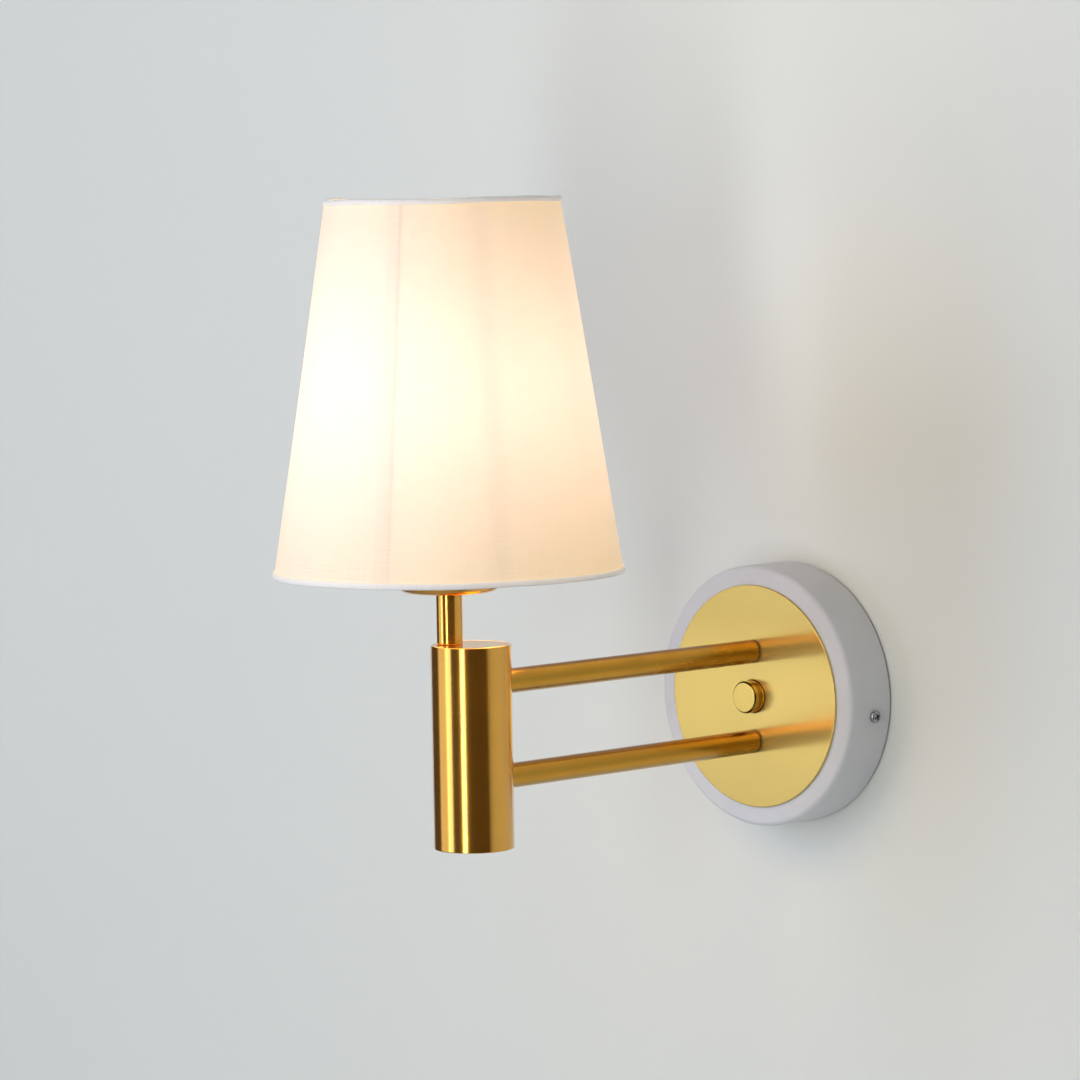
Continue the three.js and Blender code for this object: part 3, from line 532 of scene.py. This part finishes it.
# A painted-brighter copy of the face plate's brass, with painted shade on the button's side and a painted
# dark reflection on the chamfer round its face.
BUTTON_BRASS = metal(
    "button_brass", scaled(BRUSHED, 1.16), 0.17, grain=(0.3, 1.0, 3.2), depth=0.002, spread=0.02,
    painted_light_strips=[
        ("Y", 3.9 - BUTTON_FRONT, 2.4, (0.42, 0.20, 0.025)),
        ("Y", 0.45 - BUTTON_FRONT, 0.3, (0.10, 0.045, 0.006)),
    ],
)
TOP_BRASS = metal("turned_brass_top", SATIN, 0.09, grain=(1.2, 1.2, 1.2), depth=0.001, spread=0.02)
SCREW_STEEL = metal("screw_steel", (0.36, 0.36, 0.38), 0.24, grain=(1.4, 1.4, 1.4), spread=0.06)
FINISH = {
    "brushed_brass": DISC_BRASS,
    "satin_brass": TURNED_BRASS,
    "raw_brass": metal("raw_brass", (0.58, 0.42, 0.20), 0.42, (0.4, 0.4, 2.2), 0.01, 0.06),
    "white_paint": paint("white_paint", (0.69, 0.70, 0.735), 0.5, 0.9, 0.012),
    "zinc_steel": metal("zinc_steel", (0.60, 0.60, 0.61), 0.34, (0.9, 0.9, 0.9), 0.008, 0.08),
    "nylon": paint("nylon", (0.78, 0.76, 0.70), 0.5, 0.8, 0.01),
    "black_plastic": paint("black_plastic", (0.025, 0.025, 0.028), 0.45, 1.6, 0.02),
    "white_plastic": paint("white_plastic", (0.80, 0.79, 0.76), 0.34, 1.2, 0.008),
    "cable_sleeve": cable_rubber("cable_sleeve", (0.76, 0.73, 0.67)),
    "earth_sleeve": cable_rubber("earth_sleeve", (0.55, 0.55, 0.04), (0.04, 0.22, 0.05)),
    "frosted_glass": frosted(),
    "white_wire": paint("white_wire", (0.74, 0.72, 0.68), 0.4, 1.0, 0.01),
    "shade_liner": liner_film(),
    "linen": linen(),
    "edge_tape": tape_cloth(),
}


def finished(obj, slot, body, *nodes, material=None):
    """Gives a piece its material, its record slot's finish unless another is given, and the body it rides on,
    and hides the CAD nodes it stands for.
    """
    obj.data.materials.clear()
    obj.data.materials.append(material or FINISH[slot])
    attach(obj, body)
    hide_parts(*nodes)
    return obj


# Every CAD node gets its slot's finish. The pieces made below stand for some of them.
for subpart in frame["record"]["subparts"]:
    node = frame["nodes"][subpart["node"]]
    node.data.materials.clear()
    node.data.materials.append(FINISH[subpart["material_slot"]])

# ---------------------------------------------------------------- wall side

BASE, BUTTON, HEAD = "wall_base", "push_button", "lamp_head"


def ring_profile(inner, outer, low, high, soft):
    """Closed profile of a ring whose four corners have the same small radius."""
    start = ((inner + outer) / 2, low)
    corners = [(outer, low, soft), (outer, high, soft), (inner, high, soft), (inner, low, soft)]
    return fillet([start, *corners, start])[:-1]


inside = CANOPY_DEPTH - CANOPY_WALL
hole = COLLAR_R + 0.3
canopy = turned(
    "canopy",
    fillet([
        (hole + 1, CANOPY_DEPTH), (CANOPY_R, CANOPY_DEPTH, 2.2), (CANOPY_R, 0, 0.35),
        (CANOPY_R - CANOPY_WALL, 0, 0.35), (CANOPY_R - CANOPY_WALL, inside, 1.2), (hole, inside),
        (hole, CANOPY_DEPTH, 0.3), (hole + 1, CANOPY_DEPTH),
    ], 10)[:-1],
    facing="out",
    segments=192,
)
finished(canopy, "white_paint", BASE, "canopy_shell")

disc_bore = BUTTON_R + 0.25
disc = turned(
    "face_plate",
    fillet([
        (disc_bore + 1.5, DISC_FRONT), (disc_bore, DISC_FRONT, 0.25), (disc_bore, COLLAR_BACK),
        (COLLAR_R, COLLAR_BACK), (COLLAR_R, DISC_BACK), (DISC_R, DISC_BACK, 0.1), (DISC_R, DISC_FRONT, 0.35),
        (disc_bore + 1.5, DISC_FRONT),
    ])[:-1],
    facing="out",
    segments=192,
)
finished(disc, "brushed_brass", BASE, "face_disc")

button_bore = BUTTON_R - 1.6
button_inside = BUTTON_FRONT - 3.0
button = turned(
    "push_button",
    fillet([
        (0, BUTTON_FRONT), (BUTTON_R - 0.75, BUTTON_FRONT, 0.3), (BUTTON_R, BUTTON_FRONT - 0.65, 0.3),
        (BUTTON_R, BUTTON_BACK, 0.2), (button_bore, BUTTON_BACK, 0.2), (button_bore, button_inside, 0.5),
        (0, button_inside),
    ]),
    facing="out",
    segments=96,
)
finished(button, "brushed_brass", BUTTON, "button_cap", material=BUTTON_BRASS)


def arm(name, height, node):
    """A tube from the disc to the barrel, with a rounded wall end and a saddle-cut barrel end."""
    count = 64
    spins = [2 * math.pi * k / count for k in range(count)]
    soft = 0.45

    def ring(radius, out):
        return [(radius * math.cos(t), -out, height + radius * math.sin(t)) for t in spins]

    def saddle(radius):
        reach = BARREL_R + 0.12
        points = []
        for t in spins:
            x = radius * math.cos(t)
            points.append((x, -(BARREL_OUT - math.sqrt(reach**2 - x**2)), height + radius * math.sin(t)))
        return points

    rings = [ring(r, out) for r, out in arc(ARM_R - soft, ARM_START + soft, soft, -90, 0, 6)]
    rings += [ring(ARM_R, out) for out in (ARM_START + 2 * soft, 32, 60, 100, 140, 170)]
    rings += [saddle(ARM_R), saddle(ARM_BORE)]
    rings += [ring(ARM_BORE, out) for out in (170, 100, 32, ARM_START)]
    obj = loft(name, rings)
    return finished(obj, "satin_brass", BASE, node, material=DRAWN_BRASS)


arm("arm_upper", ARM_HEIGHT, "upper_arm")
arm("arm_lower", -ARM_HEIGHT, "lower_arm")


def pan_screw(name, facing, node):
    """Domed cross-recess screw on the canopy's side."""
    head, tall, shank = 2.9, 1.9, 1.5
    seat = CANOPY_R + 0.2
    tip = seat - 9
    obj = turned(
        name,
        fillet([
            (0, seat + tall), (head * 0.55, seat + tall * 0.97), (head * 0.88, seat + tall * 0.72, 0.6),
            (head, seat + tall * 0.35, 0.4), (head, seat, 0.12), (shank, seat), (shank, tip + 0.8),
            (shank - 0.5, tip), (0, tip),
        ]),
        facing=facing,
        segments=64,
    )
    side = 1 if facing == "right" else -1
    top = (side * (seat + tall), -SCREW_OUT, 0)
    turn = Matrix.Rotation(math.radians(24), 3, "X")
    carve(obj, block((2.4, 0.85, 3.5), top, turn), block((2.4, 3.5, 0.85), top, turn))
    obj.data.transform(Matrix.Rotation(SIDE_TURN, 4, "Y"))
    return finished(obj, "zinc_steel", BASE, node, material=SCREW_STEEL)


pan_screw("side_screw_right", "right", "canopy_screw_right")
pan_screw("side_screw_left", "left", "canopy_screw_left")


def make_wall_plate():
    """The bracket: a filled 2-D curve with holes, made into a thin bevelled plate, with two tapped tabs."""
    half_thick, bevel = 1.0, 0.15
    curve = bpy.data.curves.new("wall_plate", "CURVE")
    curve.dimensions = "2D"
    curve.fill_mode = "BOTH"
    curve.extrude = (half_thick - bevel) * MM
    curve.bevel_depth = bevel * MM
    curve.bevel_resolution = 2

    def outline(points):
        spline = curve.splines.new("POLY")
        spline.points.add(len(points) - 1)
        for target, (x, y) in zip(spline.points, points):
            target.co = (x * MM, y * MM, 0, 1)
        spline.use_cyclic_u = True

    def circle(radius, x=0.0, y=0.0, count=96):
        spins = [2 * math.pi * k / count for k in range(count)]
        return [(x + radius * math.cos(t), y + radius * math.sin(t)) for t in spins]

    def slot_hole(y):
        return arc(5.5, y, 2.5, -90, 90, 12) + arc(-5.5, y, 2.5, 90, 270, 12)

    # The rim, the cable's hole, the earth screw's hole, and the wall screws' slots.
    outline(circle(PLATE_R - bevel, count=160))
    outline(circle(9.15, -28))
    outline(circle(2.1, 40, 22, 32))
    outline(slot_hole(38))
    outline(slot_hole(-38))
    flat_shape = bpy.data.objects.new("plate_outline", curve)
    bpy.context.scene.collection.objects.link(flat_shape)
    dg = bpy.context.evaluated_depsgraph_get()
    mesh = bpy.data.meshes.new_from_object(flat_shape.evaluated_get(dg))
    bpy.data.objects.remove(flat_shape)
    mesh.transform(Matrix.Translation((0, -half_thick * MM, 0)) @ Matrix.Rotation(math.radians(90), 4, "X"))
    bm = bmesh.new()
    bm.from_mesh(mesh)
    bmesh.ops.remove_doubles(bm, verts=bm.verts, dist=1e-6)
    plate = from_bmesh("wall_plate", bm)
    # Two bent tabs, turned with the side screws that hold the canopy on them.
    tabs = []
    for side in (1, -1):
        tabs.append(block((2.0, 16.7, 14.0), (side * 56.7, -8.45, 0)))
        tabs.append(block((8.0, 1.9, 14.0), (side * 52.9, -1.05, 0)))
    threads = turned("threads", [(0, -70), (1.8, -70), (1.8, 70), (0, 70)], facing="right", segments=32)
    for tool in (*tabs, threads):
        tool.data.transform(Matrix.Rotation(SIDE_TURN, 4, "Y"))
    carve(plate, *tabs, operation="UNION")
    carve(plate, threads)
    for face in plate.data.polygons:
        face.use_smooth = abs(face.normal.y) < 0.999
    return plate


finished(make_wall_plate(), "zinc_steel", BASE, "wall_bracket")

# ---------------------------------------------------------------- barrel

barrel = turned(
    "barrel",
    ring_profile(BARREL_BORE, BARREL_R, BARREL_LOW, BARREL_HIGH, 0.35),
    (0, BARREL_Y),
    segments=192,
)
finished(barrel, "satin_brass", BASE, "barrel_tube")

cap_r = BARREL_BORE - 0.12
cap_bore = cap_r - 1.5
cap_floor, cap_top = BARREL_LOW + 2.2, BARREL_LOW + 10
base_cap = turned(
    "barrel_base",
    fillet([
        (0, BARREL_LOW), (cap_r, BARREL_LOW, 0.3), (cap_r, cap_top, 0.3), (cap_bore, cap_top, 0.3),
        (cap_bore, cap_floor, 0.3), (0, cap_floor),
    ]),
    (0, BARREL_Y),
    segments=128,
)
finished(base_cap, "satin_brass", BASE, "barrel_base_cap")

# ---------------------------------------------------------------- lamp head

LAMP = (LAMP_X, LAMP_Y)
turret_floor = 33.5
skirt_r, skirt_bore, skirt_low = 14.3, 13.0, 27.9
groove_r, groove_low, groove_high = 13.7, 29.1, 30.2
turret = turned(
    "turret_top",
    fillet([
        (0, BARREL_HIGH), (cap_r, BARREL_HIGH, 0.3), (cap_r, turret_floor, 0.1), (skirt_r, turret_floor),
        (skirt_r, groove_high), (groove_r, groove_high), (groove_r, groove_low), (skirt_r, groove_low),
        (skirt_r, skirt_low), (skirt_bore, skirt_low), (skirt_bore, turret_floor), (0, turret_floor),
    ]),
    (0, BARREL_Y),
    segments=160,
)
spigot_hole = SPIGOT_R + 0.2
socket = turned("socket", [(0, 25), (spigot_hole, 25), (spigot_hole, 45), (0, 45)], LAMP, segments=48)
carve(turret, socket)
finished(turret, "satin_brass", HEAD, "turret_cap", material=TOP_BRASS)

spigot_low, spigot_high = 33.6, 70.5
stem_low, stem_high = BARREL_HIGH + 0.15, DISH_LOW - 0.15
stem = turned(
    "lamp_stem",
    fillet([
        (STEM_BORE, spigot_low), (SPIGOT_R, spigot_low), (SPIGOT_R, stem_low), (STEM_R, stem_low, 0.3),
        (STEM_R, stem_high, 0.2), (SPIGOT_R, stem_high), (SPIGOT_R, spigot_high), (STEM_BORE, spigot_high),
        (STEM_BORE, spigot_low),
    ])[:-1],
    LAMP,
    segments=96,
)
finished(stem, "satin_brass", HEAD, "stem")

flat = 18.5
round_edge = DISH_R - flat
dish_wall = 1.2
dish_inside = DISH_R - dish_wall
dish = turned(
    "brass_dish",
    [(spigot_hole, DISH_LOW)]
    + arc(flat, DISH_LOW + round_edge, round_edge, -90, 0, 14)
    + fillet([
        (DISH_R, DISH_RIM - 1), (DISH_R, DISH_RIM, 0.3), (dish_inside, DISH_RIM, 0.3),
        (dish_inside, DISH_RIM - 1),
    ])
    + arc(flat, DISH_LOW + round_edge, round_edge - dish_wall, 0, -90, 10)
    + [(spigot_hole, DISH_LOW + dish_wall)],
    LAMP,
    segments=128,
)
finished(dish, "satin_brass", HEAD, "dish")

cup_r, cup_bore, cup_hole = 13.4, 11.8, 4.0
cup_low, cup_floor, cup_top = 62.7, 64.9, 77
holder_base = turned(
    "holder_base",
    fillet([
        (cup_hole, cup_low), (cup_r - 3.0, cup_low), (cup_r, cup_low + 0.9, 1.5), (cup_r, cup_top, 0.4),
        (cup_bore, cup_top, 0.3), (cup_bore, cup_floor, 0.4), (cup_hole, cup_floor), (cup_hole, cup_low),
    ])[:-1],
    LAMP,
    segments=96,
)
finished(holder_base, "white_plastic", HEAD, "lampholder_base")


def thread_ridges(radius, low, high, pitch, depth):
    """Rounded ridges of a thread, seen as a profile going up."""
    points = []
    count = int((high - low) / pitch)
    for k in range(count):
        z = low + k * pitch
        points += [(radius - depth, z), (radius, z + pitch * 0.35)]
        points += [(radius, z + pitch * 0.55), (radius - depth, z + pitch * 0.9)]
    return points


rivet_hole = 2.2
holder_low, holder_floor = 77.3, 80.3
pitch, ridge = 2.2, 0.6
root_r = THREAD_R - ridge
holder = turned(
    "lampholder",
    fillet([
        (rivet_hole, holder_low), (HOLDER_R, holder_low, 0.8), (HOLDER_R, SHOULDER, 0.4), (root_r, SHOULDER),
    ])
    + thread_ridges(THREAD_R, SHOULDER + 0.4, HOLDER_TOP - 0.8, pitch, ridge)
    + fillet([
        (root_r, HOLDER_TOP - 0.6), (root_r, HOLDER_TOP, 0.4), (HOLDER_BORE, HOLDER_TOP, 0.4),
        (HOLDER_BORE, holder_floor), (rivet_hole, holder_floor),
    ]),
    LAMP,
    segments=96,
)
finished(holder, "white_plastic", HEAD, "lampholder_body")


nut_bore, nut_r, nut_low, nut_top = 14.3, 18.2, 97.1, 103.5


def knurl(radius, height, angle):
    """Grip flutes on the outside of the shade's ring nut."""
    if radius < nut_r - 0.7:
        return radius, height
    return radius - 0.35 * (0.5 + 0.5 * math.cos(36 * angle)), height


ring_nut = turned(
    "shade_nut",
    fillet([
        (nut_bore, nut_low), (nut_r, nut_low, 0.5), (nut_r, nut_low + 4.3, 0.8),
        (nut_r - 1.6, nut_low + 5.5, 0.6), (nut_r - 1.6, nut_top, 0.3), (nut_bore, nut_top, 0.3),
        (nut_bore, nut_low),
    ])[:-1],
    LAMP,
    segments=288,
    ripple=knurl,
)
finished(ring_nut, "white_plastic", HEAD, "shade_ring_nut")

screw_r, glass_start = 6.4, 107.5
bulb_cap = turned(
    "screw_cap",
    fillet([(0, 83.5), (3.2, 83.5, 0.3), (screw_r, 85, 0.4)], 4)
    + [point for z in (86.9, 90.5, 94.1, 97.7) for point in arc(screw_r, z, 0.6, -80, 80, 6)]
    + [(6.5, 100), (7.0, 101), (7.0, glass_start), (0, glass_start)],
    LAMP,
    segments=64,
)
finished(bulb_cap, "zinc_steel", HEAD, "bulb_cap")

neck_outside = [(12.2, 117.2), (10.4, 114.5), (8.9, 112), (8.0, 110), (7.6, 107.8)]
neck_inside = [(6.6, 107.8), (7.1, 110), (8.0, 112), (9.4, 114.5), (11.2, 117.2)]
bulb = turned(
    "bulb_globe",
    [(0, BULB_Z + BULB_R)]
    + arc(0, BULB_Z, BULB_R, 84, -50, 28)
    + neck_outside
    + neck_inside
    + arc(0, BULB_Z, BULB_R - 1, -50, 84, 28)
    + [(0, BULB_Z + BULB_R - 1)],
    LAMP,
    segments=96,
    sharp=60,
)
finished(bulb, "frosted_glass", HEAD, "bulb_glass")

# ---------------------------------------------------------------- shade


def lift_of(z):
    """0 at the shade's lower edge, 1 at its upper edge."""
    return (z - SHADE_LOW) / (SHADE_HIGH - SHADE_LOW)


def shade_radius(z):
    """The shade's outside radius at a height."""
    return SHADE_LOW_R + (SHADE_HIGH_R - SHADE_LOW_R) * lift_of(z)


def slack(radius, z, angle):
    """Small waves of hand-rolled cloth: in and out all over, a step at the lapped seam, and edges that rise
    and fall, more at the top than at the bottom."""
    lift = lift_of(z)
    wave = 0.22 * math.sin(3 * angle + 0.6) + 0.14 * math.sin(7 * angle + 1.9)
    wave += 0.08 * math.sin(13 * angle + 4.0)
    bow = 0.25 * math.sin(5 * angle + 2.2 + 2.0 * lift) * math.sin(math.pi * min(max(lift, 0), 1))
    off_seam = abs(math.remainder(angle - SEAM_ANGLE, 2 * math.pi)) * radius
    wave += 0.25 * min(1.0, max(0.0, (LAP_HALF + 0.8 - off_seam) / 1.6))
    rise = 0.32 * math.sin(2 * angle + 0.9) + 0.20 * math.sin(5 * angle + 2.4) + 0.10 * math.sin(11 * angle)
    near_edge = min(1.0, max(0.0, abs(lift - 0.5) * 2)) ** 4
    rise = rise - 0.2 if lift > 0.5 else 0.45 * rise + 0.2
    return radius + wave + bow - 0.35, z + rise * near_edge


def skin(name, outer, inner, low, high, rows):
    """A conical skin between two depths below the hem line."""
    levels = [low + (high - low) * k / rows for k in range(rows + 1)]
    outside = [(shade_radius(z) - outer, z) for z in levels]
    back = [(shade_radius(z) - inner, z) for z in reversed(levels)]
    return turned(name, outside + back, LAMP, segments=256, ripple=slack, sharp=60)


fabric_out = TAPE + SKIN_GAP
liner_out = fabric_out + FABRIC + SKIN_GAP
liner_in = liner_out + LINER
cloth_low, cloth_high = SHADE_LOW + TAPE + 0.1, SHADE_HIGH - TAPE - 0.1

liner = skin("liner_film", liner_out, liner_in, cloth_low, cloth_high, 12)
finished(liner, "shade_liner", HEAD, "shade_liner")
fabric = skin("shade_linen", fabric_out, fabric_out + FABRIC, cloth_low, cloth_high, 48)
finished(fabric, "linen", HEAD, "shade_fabric")


def hem(name, edge, band, node):
    """Folded tape over the skins' edge, reaching to band: rolled lip, outer face, and a narrow inner face."""
    way = 1 if band > edge else -1
    r = shade_radius
    middle = liner_in / 2
    lip = [
        (r(edge + way * 1.5) - liner_in - 0.35, edge + way * 1.5),
        (r(edge) - liner_in - 0.3, edge + way * 0.45),
        (r(edge) - liner_in + 0.25, edge + way * 0.08),
        (r(edge) - middle, edge),
        (r(edge) - 0.35, edge + way * 0.08),
        (r(edge) - 0.06, edge + way * 0.4),
    ]
    out = [(r(edge + (band - edge) * t), edge + (band - edge) * t) for t in (0.25, 0.4, 0.55, 0.7, 0.85)]
    fold = [(r(band) - 0.05, band - way * 0.1), (r(band) - 0.25, band), (r(band) - TAPE, band - way * 0.08)]
    under_r, under_z = r(edge + way * 0.6), edge + way * 0.62
    under = [(under_r - TAPE - 0.12, under_z), (under_r - liner_in + 0.05, under_z)]
    inner = [(r(edge + way * 1.5) - liner_in - 0.1, edge + way * 1.5)]
    obj = turned(name, lip + out + fold + under + inner, LAMP, segments=256, ripple=slack, sharp=70)
    return finished(obj, "edge_tape", HEAD, node)


bottom_hem = hem("shade_hem_bottom", SHADE_LOW, SHADE_LOW + BOTTOM_BAND, "shade_bottom_tape")
top_hem = hem("shade_hem_top", SHADE_HIGH, SHADE_HIGH - TOP_BAND, "shade_top_tape")


def wire_circle(height):
    """The middle line of a wire ring inside the shade, and its radius."""
    radius = shade_radius(height) - liner_in - 0.9 - WIRE_R
    spins = [2 * math.pi * k / 160 for k in range(160)]
    return [(LAMP_X + radius * math.cos(t), LAMP_Y + radius * math.sin(t), height) for t in spins], radius


def joined(name, parts):
    """Several closed meshes as one object."""
    bm = bmesh.new()
    for part in parts:
        bm.from_mesh(part.data)
        bpy.data.objects.remove(part)
    return from_bmesh(name, bm)


frame_z = SHADE_LOW + WIRE_INSET
low_circle, low_radius = wire_circle(frame_z)
fitter_low, fitter_high = SHOULDER + 0.2, SHOULDER + 1.8
fitter_middle = (fitter_low + fitter_high) / 2
fitter = turned("fitter", ring_profile(14.3, 18.6, fitter_low, fitter_high, 0.3), LAMP, segments=96)
spokes = []
for k in range(3):
    a = math.radians(90 + 120 * k)
    start, end = 17.6, low_radius - 0.3
    line = []
    for j in range(15):
        s = j / 14
        out = start + (end - start) * s
        bend = 1.8 * math.sin(math.pi * s) * (1 - s)
        z = fitter_middle + (frame_z - fitter_middle) * s + bend
        line.append((LAMP_X + math.cos(a) * out, LAMP_Y + math.sin(a) * out, z))
    spokes.append(swept(f"spoke{k}", line, SPOKE_R))
low_ring = swept("low_ring", low_circle, WIRE_R, loop=True)
shade_frame = joined("lower_wire_frame", [low_ring, fitter, *spokes])
finished(shade_frame, "white_wire", HEAD, "shade_frame")
top_circle, _ = wire_circle(SHADE_HIGH - WIRE_INSET)
top_ring = swept("top_wire_ring", top_circle, WIRE_R, loop=True)
finished(top_ring, "white_wire", HEAD, "shade_top_ring")

# ---------------------------------------------------------------- stage


def sheet_with_hole(name, half, radius, y):
    """An upright square with a round hole, in millimetres."""
    spins = [2 * math.pi * k / 64 for k in range(64)]
    inner = [(radius * math.cos(t), y, radius * math.sin(t)) for t in spins]
    outer = []
    for x, _, z in inner:
        grow = half / max(abs(x), abs(z))
        outer.append((x * grow, y, z * grow))
    return loft(name, [inner, outer], loop=False)


def blend_surface(tree, amount, shader, other):
    """Gives a tree's output a mix of two shaders: shader where amount is 0, other where it is 1."""
    mix = tree.nodes.new("ShaderNodeMixShader")
    output = next(n for n in tree.nodes if n.type.startswith("OUTPUT"))
    tree.links.new(amount, mix.inputs["Fac"])
    tree.links.new(shader.outputs[0], mix.inputs[1])
    tree.links.new(other.outputs[0], mix.inputs[2])
    tree.links.new(mix.outputs[0], output.inputs["Surface"])


# The canopy hides the wall's hole, and the wall is clear from behind, so that the back can be lit and seen.
# It ends 1 m to the left, and a hair behind the lamp's back face.
BACKDROP = (0.60, 0.605, 0.595)
WALL_HALF, WALL_HOLE, WALL_BEHIND, WALL_LEFT = 3000.0, 56.0, 1.2, -1000.0
wall = sheet_with_hole("wall", WALL_HALF, WALL_HOLE, WALL_BEHIND)
for vertex in wall.data.vertices:
    vertex.co.x = max(vertex.co.x, WALL_LEFT * MM)
for face in wall.data.polygons:
    face.use_smooth = False
if wall.data.polygons[0].normal.y > 0:
    wall.data.flip_normals()
plaster = Nodes("plaster", (0.80, 0.805, 0.80), 0.85)
plaster.tint(plaster.noise((0.004,) * 3, detail=2), (0.80, 0.805, 0.75), (0.83, 0.835, 0.78))
plaster.bump(plaster.noise((0.25,) * 3, detail=4), 0.15, 0.35)
see_through = plaster.tree.nodes.new("ShaderNodeBsdfTransparent")
geometry = plaster.tree.nodes.new("ShaderNodeNewGeometry")
blend_surface(plaster.tree, geometry.outputs["Backfacing"], plaster.shader, see_through)
wall.data.materials.append(plaster.material)

# The floor is plain and pale to the camera. The world below does the same.
FLOOR_HALF, FLOOR_Z = 3.0, -1.3
floor_mesh = bmesh.new()
bmesh.ops.create_grid(floor_mesh, x_segments=1, y_segments=1, size=FLOOR_HALF)
floor = from_bmesh("floor", floor_mesh)
floor.location = (0, 0, FLOOR_Z)
floor_paint = Nodes("floor_paint", BACKDROP, 0.9)
pale = floor_paint.tree.nodes.new("ShaderNodeEmission")
pale.inputs["Color"].default_value = (*BACKDROP, 1)
seen = floor_paint.tree.nodes.new("ShaderNodeLightPath")
blend_surface(floor_paint.tree, seen.outputs["Is Camera Ray"], floor_paint.shader, pale)
floor.data.materials.append(floor_paint.material)

# ---------------------------------------------------------------- light

world = bpy.data.worlds.new("room")
bpy.context.scene.world = world
world.use_nodes = True
sky = world.node_tree.nodes["Background"]
sky.inputs["Color"].default_value = (1.0, 0.74, 0.44, 1)
sky.inputs["Strength"].default_value = 0.10
backdrop = world.node_tree.nodes.new("ShaderNodeBackground")
backdrop.inputs["Color"].default_value = (*BACKDROP, 1)
seen = world.node_tree.nodes.new("ShaderNodeLightPath")
blend_surface(world.node_tree, seen.outputs["Is Camera Ray"], sky, backdrop)

NEUTRAL, COOL = (0.945, 0.99, 1.03), (0.83, 1.0, 1.38)
AIM = Vector((0, -0.12, 0.05))


def softbox(name, azimuth, elevation, distance, width, height, radiance, color=NEUTRAL):
    """An area light aimed at the lamp. Azimuth is the direction from the lamp, in degrees from +X. Its power
    grows with its area, so that its surface has the same radiance at any size."""
    light = bpy.data.lights.new(name, "AREA")
    light.shape = "RECTANGLE"
    light.size, light.size_y = width, height
    light.energy = radiance * math.pi * width * height
    light.color = color
    obj = bpy.data.objects.new(name, light)
    bpy.context.scene.collection.objects.link(obj)
    a, e = math.radians(azimuth), math.radians(elevation)
    back = Vector((math.cos(a) * math.cos(e), math.sin(a) * math.cos(e), math.sin(e)))
    obj.location = AIM + back * distance
    obj.rotation_mode = "QUATERNION"
    obj.rotation_quaternion = back.to_track_quat("Z", "Y")
    obj.visible_camera = False


softbox("key_wide", -130, 10, 2.2, 1.45, 2.3, 0.98)
softbox("key_core", -110.5, 9, 2.1, 0.62, 2.1, 2.25, COOL)
softbox("strip", -68.5, -7, 2.1, 0.36, 1.5, 6.8)
softbox("ceiling", -80, 38, 2.1, 2.6, 1.8, 1.0)
softbox("back_fill", 60, 0, 2.1, 2.4, 2.4, 0.8)

# ---------------------------------------------------------------- camera

# The photo's camera, fitted to the outlines of the canopy, the face plate, the barrel and the shade.
LENS, SENSOR = 142.5, 36.0
CAMERA_AT = (1.3565, -1.4278, 0.2288)
yaw, pitch, roll = math.radians(46.918), math.radians(4.56), math.radians(-0.96)
camera_data = bpy.data.cameras.new("camera")
camera_data.lens = LENS
camera_data.sensor_width = SENSOR
camera_data.clip_start, camera_data.clip_end = 0.05, 30.0
camera = bpy.data.objects.new("camera", camera_data)
bpy.context.scene.collection.objects.link(camera)
look = Vector((-math.sin(yaw) * math.cos(pitch), math.cos(yaw) * math.cos(pitch), -math.sin(pitch)))
right = Vector((math.cos(yaw), math.sin(yaw), 0))
above = right.cross(look)
turned_right = right * math.cos(roll) + above * math.sin(roll)
turned_above = above * math.cos(roll) - right * math.sin(roll)
axes = Matrix((turned_right, turned_above, -look)).transposed()
camera.matrix_world = Matrix.Translation(CAMERA_AT) @ axes.to_4x4()
bpy.context.scene.camera = camera
bpy.context.scene.view_settings.view_transform = "Standard"
bpy.context.scene.view_settings.look = "None"
